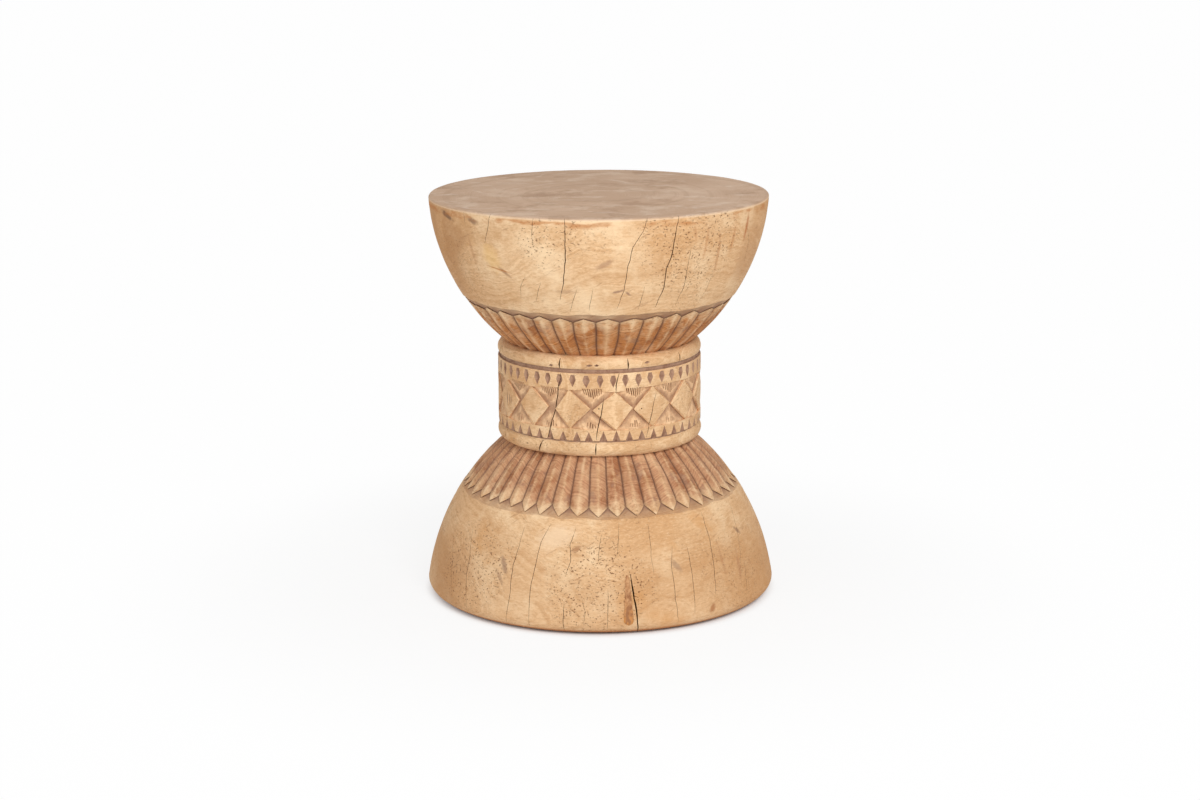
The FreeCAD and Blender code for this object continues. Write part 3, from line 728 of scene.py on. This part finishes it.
def notch_cuts(form):
    """Three-sided notches that deepen towards the lower groove."""
    chance = random.Random(15)
    for turn in round_turns(NOTCH_TURNS, 49, seed=16):
        half = math.degrees(chance.uniform(5.2, 6.0) / BAND)
        apex = 230.0 + chance.uniform(-0.8, 0.8)
        low = 215.6
        places = [(turn, apex, -0.4), (turn - half, low, -0.4), (turn + half, low, -0.4), (turn, low, 4.6)]
        cut_in(form, places, [(0, 1, 3), (0, 3, 2)], CUT)


def pinholes(form):
    """Three small holes in the faces of the diamonds."""
    for turn, height in ((-0.4, 257.0), (23.7, 254.8), (-26.9, 256.3)):
        aside = Matrix.Rotation(math.radians(turn), 4, "Z")
        upright = Matrix.Rotation(math.radians(90), 4, "X")
        place = aside @ Matrix.Translation((0, -BAND, height)) @ upright
        made = bmesh.ops.create_cone(form, cap_ends=True, segments=10, radius1=0.8, radius2=0.8, depth=7,
                                     matrix=place)
        # The holes take the dark crack finish: painted shade, with dust
        paint(made["verts"], CRACK)


def make_waist(finishes):
    low, high, neck = LOWER_JOINT - TENON_LENGTH, UPPER_JOINT + TENON_LENGTH, TENON - TENON_CHAMFER
    outline = [(0, low), (neck, low), (TENON, low + TENON_CHAMFER), (TENON, LOWER_JOINT)]
    outline += bulged((SEAT_REACH, LOWER_JOINT), (GROOVE, GROOVE_FOOT), 6.4, 14)
    outline += [(GROOVE, BAND_FOOT), (BAND - 1.2, BAND_FOOT), (BAND - 0.35, BAND_FOOT + 0.4)]
    outline += [(BAND, height) for height in rows(BAND_FOOT + 1.2, BAND_HEAD - 1.2, 34)]
    outline += [(BAND - 0.35, BAND_HEAD - 0.35), (BAND - 1.2, BAND_HEAD), (GROOVE, BAND_HEAD),
                (GROOVE, GROOVE_HEAD)]
    outline += bulged((BAND - 1.2, GROOVE_HEAD), (SEAT_REACH, UPPER_JOINT), 4.6, 14)
    outline += [(TENON, UPPER_JOINT), (TENON, high - TENON_CHAMFER), (neck, high), (0, high)]
    form = spun(outline, 420)
    # The grooves beside the beads take the cut finish: painted shade in the grooves
    for face in form.faces:
        place = face.calc_center_median()
        reach = math.hypot(place.x, place.y)
        under_bead = BAND_HEAD - 0.2 < place.z < GROOVE_HEAD + 0.2
        over_bead = GROOVE_FOOT - 0.1 < place.z < BAND_FOOT + 0.2
        if (under_bead or over_bead) and GROOVE - 0.3 < reach < BAND - 0.1:
            face.material_index = CUT
    piece = piece_from(form, "waist_drum_carved", finishes)
    diamonds = all_diamonds()
    grounds = bmesh.new()
    sink_grounds(grounds, diamonds)
    carve(piece, grounds)
    strokes = bmesh.new()
    chisel_marks(strokes, diamonds)
    carve(piece, strokes)
    for sides in ((0, 2), (1, 3)):
        chamfers = bmesh.new()
        worn_edges(chamfers, diamonds, sides)
        carve(piece, chamfers)
    edges = bmesh.new()
    scuffs(edges)
    leaf_cuts(edges)
    notch_cuts(edges)
    pinholes(edges)
    carve(piece, edges)
    paths = BAND_CHECKS + more_checks(8, 222, 296, seed=17)
    for turn, wide in ((96, 0.7), (131, 0.5), (170, 1.0), (214, 0.6), (251, 0.8), (285, 0.5)):
        paths.append((wide, 5, [(turn, 317), (turn + 0.5, 303)]))
        paths.append((wide, 5, [(turn + 9, 213.6), (turn + 8, 198)]))
    cut_checks(piece, paths, waist_reach, seed=18, open_by=1.9)
    holes = bmesh.new()
    dowel_holes(holes, (LOWER_JOINT - PAST, LOWER_JOINT + DOWEL_DEPTH),
                (UPPER_JOINT - DOWEL_DEPTH, UPPER_JOINT + PAST))
    carve(piece, holes)
    worn(piece, depth=0.45, grain=16.0, fine=0.12)
    return piece


# Finishes

def tone(red, green, blue):
    """A colour from its everyday 0 to 255 numbers."""
    linear = [((part / 255 + 0.055) / 1.055) ** 2.4 for part in (red, green, blue)]
    return (*linear, 1.0)


class Value:
    """A number that varies over a surface, written in plain sums."""

    def __init__(self, finish, socket):
        self.finish = finish
        self.socket = socket

    def sum(self, operation, first, second):
        node = self.finish.node("ShaderNodeMath", {"operation": operation}, {0: first, 1: second})
        return Value(self.finish, node.outputs[0])

    def __add__(self, other):
        return self.sum("ADD", self, other)

    __radd__ = __add__

    def __sub__(self, other):
        return self.sum("SUBTRACT", self, other)

    def __rsub__(self, other):
        return self.sum("SUBTRACT", other, self)

    def __mul__(self, other):
        return self.sum("MULTIPLY", self, other)

    __rmul__ = __mul__

    def over(self, low, high):
        """0 below low, 1 above high, smooth between."""
        node = self.finish.node("ShaderNodeMapRange", {"interpolation_type": "SMOOTHSTEP"},
                                {"Value": self, "From Min": low, "From Max": high})
        return Value(self.finish, node.outputs["Result"])


class Finish:
    """One material and the nodes that it is made of."""

    def __init__(self, name, **constants):
        self.material = bpy.data.materials.new(name)
        self.material.use_nodes = True
        self.tree = self.material.node_tree
        self.shader = self.tree.nodes["Principled BSDF"]
        for socket, value in constants.items():
            self.shader.inputs[socket.replace("_", " ")].default_value = value
        place = self.node("ShaderNodeTexCoord")
        self.place = place.outputs["Object"]

    def node(self, kind, settings=None, sockets=None):
        node = self.tree.nodes.new(kind)
        for name, value in (settings or {}).items():
            setattr(node, name, value)
        for name, value in (sockets or {}).items():
            value = getattr(value, "socket", value)
            if isinstance(value, bpy.types.NodeSocket):
                self.tree.links.new(value, node.inputs[name])
            else:
                node.inputs[name].default_value = value
        return node

    def feed(self, **sockets):
        for name, value in sockets.items():
            self.tree.links.new(getattr(value, "socket", value), self.shader.inputs[name.replace("_", " ")])

    def vector(self, operation, first, second):
        place = "Scale" if operation == "SCALE" else 1
        node = self.node("ShaderNodeVectorMath", {"operation": operation}, {0: first, place: second})
        return node.outputs["Value" if operation in ("LENGTH", "DISTANCE") else "Vector"]

    def axis(self, letter):
        node = self.node("ShaderNodeSeparateXYZ", {}, {0: self.place})
        return Value(self, node.outputs[letter])

    def noise(self, scale, detail=2.0, rough=0.5, vector=None, stretch=None, output="Fac"):
        vector = vector or self.place
        if stretch:
            vector = self.vector("MULTIPLY", vector, stretch)
        node = self.node("ShaderNodeTexNoise", {}, {
            "Vector": vector, "Scale": scale, "Detail": detail, "Roughness": rough})
        return node.outputs["Color"] if output == "Color" else Value(self, node.outputs[0])

    def line_noise(self, along, scale, detail=2.0, rough=0.5):
        node = self.node("ShaderNodeTexNoise", {"noise_dimensions": "1D"}, {
            "W": along, "Scale": scale, "Detail": detail, "Roughness": rough})
        return Value(self, node.outputs[0])

    def blend(self, share, first, second):
        """The first colour where the share is 0, the second where it is 1."""
        node = self.node("ShaderNodeMix", {"data_type": "RGBA"}, {0: share, 6: first, 7: second})
        return node.outputs[2]

    def relief(self, height, strength, distance):
        node = self.node("ShaderNodeBump", {}, {
            "Height": height, "Strength": strength, "Distance": distance})
        return node.outputs[0]

    def carving(self):
        """The four marks that flute() leaves on a bowl."""
        node = self.node("ShaderNodeAttribute", {"attribute_name": "carving"})
        parts = self.node("ShaderNodeSeparateColor", {}, {0: node.outputs["Color"]})
        return [Value(self, socket) for socket in [*parts.outputs, node.outputs["Alpha"]]]

    def near(self, place, reach):
        """1 at a place, falling to 0 at a distance."""
        distance = Value(self, self.vector("DISTANCE", self.place, place))
        return 1 - distance.over(reach * 0.35, reach)

    def smear(self, turn, height, tilt, long, thin, ragged):
        """1 within a slanted smear on the side of a bowl, with a ragged edge."""
        reach = top_reach(height) if height > LOWER_JOINT else foot_reach(height)
        turn = math.radians(turn)
        node = self.node("ShaderNodeMapping", {"vector_type": "TEXTURE"}, {
            "Vector": self.place, "Location": spot(turn, reach, height) * 0.001,
            "Rotation": (0, math.radians(tilt), turn), "Scale": (long * 0.001, 0.02, thin * 0.001)})
        inside = Value(self, self.vector("LENGTH", node.outputs[0], (0, 0, 0)))
        return 1 - (inside + ragged).over(0.35, 1.2)


# Stains and smears: turn, height, tilt, half length, half width, strength, tone. Those past 80 degrees
# on either side are guessed, and the rest are where the photograph shows them.
SMEARS = [
    (2.0, 445.5, -28, 14, 4, 0.5, (158, 114, 88)), (6.7, 411.0, -12, 9, 2, 0.7, (140, 102, 86)),
    (10.5, 408.0, 40, 5, 1.8, 0.7, (140, 102, 86)), (-34.9, 431.0, 40, 11, 2.5, 0.6, (150, 106, 80)),
    (-12.2, 410.5, 0, 15, 3, 0.4, (164, 122, 92)), (-60.3, 489.0, 15, 16, 4, 0.75, (104, 74, 58)),
    (-45.3, 489.0, 10, 10, 4, 0.7, (120, 84, 64)), (58.4, 475.0, 95, 20, 3.5, 0.7, (178, 104, 54)),
    (-39.2, 446.0, 70, 20, 14, 0.4, (242, 198, 124)), (-37.0, 433.0, 10, 20, 1.4, 0.7, (186, 116, 58)),
    (-34.7, 74.0, 60, 14, 4, 0.6, (142, 110, 92)), (-35.8, 60.0, 50, 12, 3, 0.5, (150, 112, 88)),
    (-8.7, 100.0, -30, 7, 3.5, 0.6, (152, 100, 64)), (38.7, 20.0, -50, 7, 4, 0.7, (160, 98, 54)),
    (60.2, 96.5, 40, 8, 3, 0.6, (130, 96, 76)), (26.7, 77.0, 50, 10, 4, 0.5, (146, 112, 92)),
    (-16.4, 112.0, -20, 30, 16, 0.6, (246, 216, 180)), (130, 452, -30, 14, 4, 0.6, (140, 102, 86)),
    (171, 430, 30, 18, 5, 0.5, (158, 114, 88)), (222, 468, 80, 20, 5, 0.6, (178, 104, 54)),
    (196, 60, 40, 16, 5, 0.5, (142, 110, 92)), (149, 88, -40, 10, 4, 0.6, (150, 104, 74)),
    (250, 40, 20, 14, 5, 0.5, (146, 108, 84)), (38.0, 462, 92, 24, 2.2, 0.4, (190, 128, 80)),
    (44.5, 446, 86, 28, 2.6, 0.45, (178, 118, 74)), (51.0, 462, 94, 20, 3.0, 0.45, (190, 124, 72)),
    (33.0, 478, 78, 12, 2.0, 0.4, (184, 124, 80)), (46.5, 72, 88, 26, 3.0, 0.35, (176, 122, 82)),
    (54.5, 58, 95, 22, 3.4, 0.4, (168, 114, 78)), (-48.0, 452, 84, 24, 3.0, 0.35, (182, 122, 78)),
]


def ring_distance(finish):
    """Distance from the wandering heart of the log, which the growth rings follow."""
    drift = finish.noise(4.5, 3.0, 0.5, output="Color")
    centred = finish.vector("SUBTRACT", drift, (0.5, 0.5, 0.5))
    moved = finish.vector("MULTIPLY", centred, (0.045, 0.045, 0.0))
    flat = finish.vector("MULTIPLY", finish.vector("ADD", finish.place, moved), (1.0, 1.0, 0.0))
    reach = Value(finish, finish.vector("DISTANCE", flat, (0.012, -0.02, 0.0)))
    return reach + finish.axis("Z") * 0.05 + finish.noise(30.0, 4.0, 0.6) * 0.007


def bleached_wood():
    """The dry, sun-bleached skin of the three blocks, with all that has happened to it, and with painted
    light and shade.
    """
    finish = Finish("bleached_wood", Roughness=0.8, Specular_IOR_Level=0.25)
    height = finish.axis("Z")
    rings = ring_distance(finish)
    growth = finish.line_noise(rings, 620.0, 4.0, 0.7)
    broad = finish.line_noise(rings, 60.0, 2.0, 0.5)
    mottle = finish.noise(22.0, 5.0, 0.65)
    cloud = finish.noise(7.0, 2.0, 0.5)
    fibre = finish.noise(75.0, 4.0, 0.7, stretch=(1.0, 1.0, 5.0))
    flesh = finish.blend(growth.over(0.3, 0.7) * 0.8, tone(240, 201, 156), tone(214, 169, 122))
    flesh = finish.blend(broad.over(0.45, 0.7) * 0.5, flesh, tone(198, 150, 102))
    flesh = finish.blend(mottle.over(0.45, 0.68) * 0.75, flesh, tone(248, 217, 176))
    flesh = finish.blend(cloud.over(0.5, 0.7) * 0.6, flesh, tone(204, 152, 100))
    flesh = finish.blend(fibre.over(0.5, 0.72) * 0.45, flesh, tone(184, 134, 88))
    hairs = finish.noise(230.0, 3.0, 0.7, stretch=(1.0, 1.0, 3.0))
    flesh = finish.blend(hairs.over(0.52, 0.7) * 0.35, flesh, tone(182, 130, 86))
    flesh = finish.blend(hairs.over(0.48, 0.3) * 0.35, flesh, tone(252, 222, 182))
    orange = finish.noise(13.0, 3.0, 0.6, stretch=(1.0, 1.0, 1.4))
    flesh = finish.blend(orange.over(0.6, 0.75) * 0.4, flesh, tone(212, 148, 78))
    # Browner patches near the left and right sides of the bowl and the foot
    side_patches = (finish.near((-0.175, -0.11, 0.478), 0.05) + finish.near((-0.19, -0.05, 0.44), 0.09)
             + finish.near((0.19, -0.08, 0.44), 0.06) + finish.near((-0.19, -0.1, 0.05), 0.07))
    flesh = finish.blend((side_patches * mottle.over(0.3, 0.6)).over(0.0, 1.0) * 0.45, flesh, tone(176, 122, 76))

    # Painted light: paler in the middle of the bowl's front. Painted shade: browner at the left and right
    # sides. Also browner near the floor
    pale = finish.near((-0.03, -0.2, 0.462), 0.115) * mottle.over(0.35, 0.6)
    flesh = finish.blend(pale * 0.5, flesh, tone(252, 222, 182))
    aside = finish.axis("X")
    flesh = finish.blend((aside * aside).over(0.012, 0.04) * 0.3, flesh, tone(200, 142, 84))
    flesh = finish.blend((1 - height.over(0.05, 0.14)) * 0.2, flesh, tone(184, 136, 94))

    ragged = (finish.noise(170.0, 4.0, 0.65) - 0.5) * 1.1
    for turn, level, tilt, long, thin, strength, colour in SMEARS:
        smear = finish.smear(turn, level, tilt, long, thin, ragged)
        flesh = finish.blend(smear * strength, flesh, tone(*colour))

    # The greyer, rubbed table top
    table_top = height.over(0.4975, 0.4993)
    grey = finish.blend(growth.over(0.35, 0.65) * 0.5, tone(218, 187, 160), tone(200, 166, 138))
    grey = finish.blend(cloud.over(0.4, 0.62) * 0.5, grey, tone(190, 155, 126))
    grey = finish.blend(broad.over(0.5, 0.7) * 0.22, grey, tone(170, 134, 105))
    grey = finish.blend(mottle.over(0.48, 0.7) * 0.6, grey, tone(228, 204, 181))
    smudge = finish.noise(15.0, 4.0, 0.7)
    grey = finish.blend(smudge.over(0.5, 0.66) * 0.6, grey, tone(172, 136, 108))
    turned = finish.vector("SCALE", finish.noise(9.0, output="Color"), 0.16)
    swirl = finish.vector("ADD", finish.place, turned)
    scratch = finish.noise(26.0, 3.0, 0.6, vector=swirl, stretch=(0.5, 2.2, 1.0))
    grey = finish.blend(scratch.over(0.58, 0.7) * 0.4, grey, tone(234, 216, 198))
    flesh = finish.blend(table_top, flesh, grey)

    # Flutes: brown flanks, painted shade in the grooves, grey-brown chips with painted shade, painted
    # highlights on ridges and tips
    fluted, groove, chip, no_tip_highlight = finish.carving()
    red = finish.noise(34.0, 4.0, 0.65, stretch=(1.0, 1.0, 0.7))
    flank = finish.blend(growth.over(0.3, 0.7), tone(208, 157, 118), tone(176, 126, 92))
    warm = finish.blend(growth.over(0.3, 0.7), tone(208, 143, 88), tone(170, 106, 54))
    flank = finish.blend(height.over(0.28, 0.33), flank, warm)
    flank = finish.blend(red.over(0.48, 0.66) * 0.7, flank, tone(152, 92, 54))
    flank = finish.blend(red.over(0.48, 0.32) * 0.6, flank, tone(226, 182, 142))
    soot = finish.noise(55.0, 3.0, 0.6, stretch=(1.0, 1.0, 0.5))
    flank = finish.blend(soot.over(0.54, 0.68) * 0.5, flank, tone(146, 112, 94))
    broken = finish.noise(70.0, 4.0, 0.65)
    fluted = fluted * 0.85 + broken.over(0.45, 0.6) * fluted.over(0.1, 0.4) * 0.45
    flesh = finish.blend(fluted, flesh, flank)
    # Painted highlight on the flute tips
    flesh = finish.blend((1 - no_tip_highlight) * broken.over(0.62, 0.42) * 0.9, flesh, tone(248, 216, 174))
    # Painted shade in the grooves, at the chips' ends and under the ledge
    flesh = finish.blend(groove * 0.9, flesh, tone(104, 74, 60))
    # The chips' grey-brown, stronger toward the flute ends and under the ledge as painted shade
    flesh = finish.blend(chip * 0.85, flesh, tone(154, 118, 97))

    # Open pores in patches, then long flecks
    patches = finish.noise(9.0, 2.0, 0.5)
    rough_spots = (finish.near((-0.005, -0.206, 0.058), 0.085) + finish.near((0.11, -0.17, 0.475), 0.1)
                   + finish.near((-0.16, -0.13, 0.06), 0.08) + finish.near((-0.06, -0.19, 0.475), 0.05))
    pores = finish.noise(360.0, 2.0, 0.6, stretch=(1.0, 1.0, 1.3))
    many = (patches.over(0.52, 0.62) * 0.4 + rough_spots + 0.04).over(0.0, 1.0)
    pits = pores.over(0.6, 0.68) * many * (1 - table_top * 0.7)
    flesh = finish.blend(pits * 0.85, flesh, tone(130, 82, 48))
    fleck = finish.node("ShaderNodeMapping", {}, {"Vector": finish.place, "Rotation": (0.0, 0.5, 0.0)})
    streaks = finish.noise(46.0, 3.0, 0.65, vector=fleck.outputs[0], stretch=(0.6, 1.0, 4.5))
    flesh = finish.blend(streaks.over(0.62, 0.72) * (1 - table_top * 0.8) * 0.4, flesh, tone(160, 110, 72))
    # Orange wear on the rim, a pale line round the rim's edge that is partly wear and partly painted
    # highlight, and a dark orange band along the foot's lowest edge
    foot_edge = 1 - height.over(0.0045, 0.008)
    flesh = finish.blend(foot_edge * 0.75, flesh, tone(178, 104, 48))
    wear = finish.noise(40.0, 3.0, 0.6, stretch=(0.6, 0.6, 2.0))
    rim = height.over(0.486, 0.492) * (1 - height.over(0.4945, 0.4975)) * wear.over(0.44, 0.6)
    flesh = finish.blend(rim * 0.7, flesh, tone(190, 122, 66))
    flesh = finish.blend(height.over(0.496, 0.498) * (1 - table_top) * 0.6, flesh, tone(240, 212, 180))

    bumps = growth * 0.5 + mottle * 0.5 + fibre * 0.4 + finish.noise(300.0, 3.0, 0.6) * 0.4 - pits
    finish.feed(Base_Color=flesh, Normal=finish.relief(bumps, 0.7, 0.0014),
                Roughness=0.68 + mottle * 0.25)
    return finish.material


def carved_ground():
    """Chiselled wood between the diamonds, darker where it is deep as painted shade."""
    finish = Finish("carved_ground", Roughness=0.86, Specular_IOR_Level=0.2)
    growth = finish.line_noise(ring_distance(finish), 520.0, 3.0, 0.6)
    dirt = finish.noise(90.0, 4.0, 0.65)
    flat = finish.vector("MULTIPLY", finish.place, (1.0, 1.0, 0.0))
    reach = Value(finish, finish.vector("LENGTH", flat, (0.0, 0.0, 0.0)))
    deep, shallow = 3.6, 1.8
    # Painted shade: darker the deeper the ground lies
    sunk = 1 - reach.over((BAND - deep) * 0.001, (BAND - shallow) * 0.001)
    chips = finish.noise(260.0, 3.0, 0.7)
    flesh = finish.blend(growth.over(0.3, 0.7), tone(247, 207, 163), tone(224, 180, 137))
    flesh = finish.blend(dirt.over(0.42, 0.6) * 0.55, flesh, tone(188, 143, 108))
    flesh = finish.blend((sunk * 0.65 + chips * 0.8).over(0.5, 1.05) * 0.65, flesh, tone(156, 116, 92))
    bumps = growth * 0.3 + dirt * 0.6 + chips * 0.8
    finish.feed(Base_Color=flesh, Normal=finish.relief(bumps, 0.7, 0.0014), Roughness=0.8 + dirt * 0.15)
    return finish.material


def two_toned(name, light, dark, grain, spread, bump, rough, stretch=None, **constants):
    """A plain finish: two tones mixed by a fine dirt, which is also felt in its surface."""
    finish = Finish(name, **constants)
    dirt = finish.noise(*grain, stretch=stretch)
    flesh = finish.blend(dirt.over(*spread), light, dark)
    finish.feed(Base_Color=flesh, Normal=finish.relief(dirt, *bump), Roughness=rough[0] + dirt * rough[1])
    return finish.material


# Cut wood's grey-brown, darker than the wood round it as painted shade in the cuts
def shaded_gouge_cut(name, light, dark):
    return two_toned(name, light, dark, (130.0, 4.0, 0.65), (0.4, 0.68), (0.7, 0.0012), (0.8, 0.15),
                     Roughness=0.88, Specular_IOR_Level=0.15)


# Pale chamfers round the diamonds: partly wear, partly painted highlight
def worn_highlit_edge():
    return two_toned("worn_highlit_edge", tone(244, 212, 170), tone(222, 180, 134), (160.0, 3.0, 0.6),
                     (0.35, 0.7), (0.4, 0.0006), (0.7, 0.15), Roughness=0.75, Specular_IOR_Level=0.25)


# The dark inside of cracks and pinholes: painted shade, with dust
def crack_shade_and_dust():
    finish = Finish("crack_shade_and_dust", Roughness=0.95, Specular_IOR_Level=0.05)
    dust = finish.noise(160.0, 3.0, 0.6)
    finish.feed(Base_Color=finish.blend(dust, tone(82, 50, 30), tone(116, 76, 48)))
    return finish.material


def wood_filler():
    finish = Finish("wood_filler", Roughness=0.7, Specular_IOR_Level=0.3)
    lumps = finish.noise(260.0, 4.0, 0.65)
    smear = finish.noise(90.0, 4.0, 0.65, stretch=(1.6, 1.6, 0.8))
    low = 1 - finish.axis("Z").over(0.016, 0.045)
    flesh = finish.blend(lumps.over(0.35, 0.7), tone(208, 158, 112), tone(174, 122, 80))
    flesh = finish.blend(smear.over(0.46, 0.6) * 0.75, flesh, tone(142, 90, 54))
    flesh = finish.blend(low * smear.over(0.62, 0.42) * 0.9, flesh, tone(196, 128, 58))
    finish.feed(Base_Color=flesh, Normal=finish.relief(lumps, 0.5, 0.001), Roughness=0.6 + lumps * 0.25)
    return finish.material


def dowel_wood():
    finish = Finish("dowel_wood", Roughness=0.7, Specular_IOR_Level=0.25)
    grain = finish.noise(90.0, 4.0, 0.6, stretch=(6.0, 6.0, 0.5))
    fleck = finish.noise(900.0, 1.0, 0.5, stretch=(1.0, 1.0, 0.25))
    flesh = finish.blend(grain, tone(222, 184, 140), tone(200, 155, 110))
    flesh = finish.blend(fleck.over(0.6, 0.7) * 0.5, flesh, tone(168, 116, 76))
    finish.feed(Base_Color=flesh, Normal=finish.relief(grain, 0.3, 0.0006), Roughness=0.6 + grain * 0.2)
    return finish.material


def glide_plastic():
    """Dark plastic, scuffed in one direction."""
    return two_toned("glide_plastic", tone(92, 74, 60), tone(126, 106, 90), (300.0, 4.0, 0.6), (0.5, 0.7),
                     (0.2, 0.0004), (0.42, 0.25), stretch=(1.0, 0.2, 1.0), Roughness=0.5,
                     Specular_IOR_Level=0.4)


def nail_steel():
    return two_toned("nail_steel", tone(168, 166, 162), tone(128, 118, 108), (400.0, 3.0, 0.6),
                     (0.45, 0.7), (0.2, 0.0003), (0.3, 0.3), Metallic=1.0, Roughness=0.4)


# Setting: floor, light and camera

def pale_floor():
    """A pale floor that shows white away from the table's shadow."""
    finish = Finish("pale_floor", Roughness=0.9)
    paper = finish.noise(40.0, 2.0, 0.5)
    colour = finish.blend(paper, tone(246, 246, 246), tone(242, 242, 241))
    finish.feed(Base_Color=colour)
    seen = finish.node("ShaderNodeLightPath")
    direct = Value(finish, seen.outputs["Is Camera Ray"]) + Value(finish, seen.outputs["Is Glossy Ray"])
    direct = direct + Value(finish, seen.outputs["Is Transmission Ray"])
    reach = Value(finish, finish.vector("DISTANCE", finish.place, (0.0, 0.0, 0.0)))
    share = reach.over(0.2, 0.225) * 0.84 + reach.over(0.25, 0.7) * 0.14
    white = finish.node("ShaderNodeEmission", {}, {"Color": (1, 1, 1, 1), "Strength": 1.0})
    mix = finish.node("ShaderNodeMixShader", {}, {
        0: direct.over(0.0, 1.0) * share, 1: finish.shader.outputs[0], 2: white.outputs[0]})
    finish.tree.links.new(mix.outputs[0], finish.tree.nodes["Material Output"].inputs["Surface"])
    return finish.material


def lay_floor():
    form = bmesh.new()
    bmesh.ops.create_circle(form, cap_ends=True, segments=96, radius=14000)
    floor = piece_from(form, "floor", [pale_floor()])


def hang_lights():
    """Even light from all sides with a soft key, before a backdrop that the camera sees as white."""
    world = bpy.data.worlds.new("studio")
    world.use_nodes = True
    bpy.context.scene.world = world
    tree = world.node_tree
    back = tree.nodes["Background"]
    back.inputs["Color"].default_value = (1, 1, 1, 1)
    seen = tree.nodes.new("ShaderNodeLightPath")
    direct = seen.outputs["Is Camera Ray"]
    for ray in ("Is Glossy Ray", "Is Transmission Ray"):
        either = tree.nodes.new("ShaderNodeMath")
        either.operation = "MAXIMUM"
        tree.links.new(direct, either.inputs[0])
        tree.links.new(seen.outputs[ray], either.inputs[1])
        direct = either.outputs[0]
    level = tree.nodes.new("ShaderNodeMapRange")
    level.inputs["To Min"].default_value = 0.5
    level.inputs["To Max"].default_value = 1.0
    tree.links.new(direct, level.inputs["Value"])
    tree.links.new(level.outputs["Result"], back.inputs["Strength"])
    soft_box("key", (0.9, -2.3, 2.1), 1.3, 46)
    soft_box("fill", (-1.7, -2.1, 0.8), 1.8, 10)


def soft_box(name, place, width, power):
    """A round lamp that looks at the middle of the table."""
    lamp = bpy.data.lights.new(name, "AREA")
    lamp.shape = "DISK"
    lamp.size = width
    lamp.energy = power
    holder = bpy.data.objects.new(name, lamp)
    bpy.context.scene.collection.objects.link(holder)
    holder.location = place
    aim = Vector((0, 0, 0.25)) - Vector(place)
    holder.rotation_euler = aim.to_track_quat("-Z", "Y").to_euler()


def set_camera():
    """The photograph's view, fitted to the outline of the top, the beads and the foot."""
    camera = bpy.data.cameras.new("camera")
    camera.sensor_fit = "HORIZONTAL"
    camera.sensor_width = 36
    camera.lens = 74.3
    holder = bpy.data.objects.new("camera", camera)
    bpy.context.scene.collection.objects.link(holder)
    look_down, lean = math.radians(13.142), math.radians(-0.26)
    aim = Matrix.Rotation(math.pi / 2 - look_down, 4, "X") @ Matrix.Rotation(lean, 4, "Z")
    holder.matrix_world = Matrix.Translation((0.0005, -3.0204, 0.9437)) @ aim
    bpy.context.scene.camera = holder


def build():
    """The carved blocks and the patch in place of the plain ones, and finishes for the rest."""
    wood = bleached_wood()
    cut = shaded_gouge_cut("shaded_gouge_cut", tone(178, 142, 118), tone(150, 112, 90))
    shaded_tick_cut = shaded_gouge_cut("shaded_tick_cut", tone(196, 154, 118), tone(166, 126, 96))
    finishes = [wood, carved_ground(), crack_shade_and_dust(), cut, worn_highlit_edge(), shaded_tick_cut]
    filler = wood_filler()
    top = make_top_bowl(finishes)
    waist = make_waist(finishes)
    foot, patch = make_base_bowl(finishes, filler)
    pairs = ((top, "top_bowl", "bleached_wood"), (waist, "waist_drum", "bleached_wood"),
             (foot, "base_bowl", "bleached_wood"), (patch, "filler_patch", "wood_filler"))
    for piece, node, slot in pairs:
        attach(piece, "root")
        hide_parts(node)
    kept = {"dowels": dowel_wood(), "nails": nail_steel(), "glide": glide_plastic()}
    for name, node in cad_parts.items():
        for word, finish in kept.items():
            if word in name:
                node.data.materials.clear()
                node.data.materials.append(finish)
                break


build()
lay_floor()
hang_lights()
set_camera()
bpy.context.scene.view_settings.view_transform = "Standard"
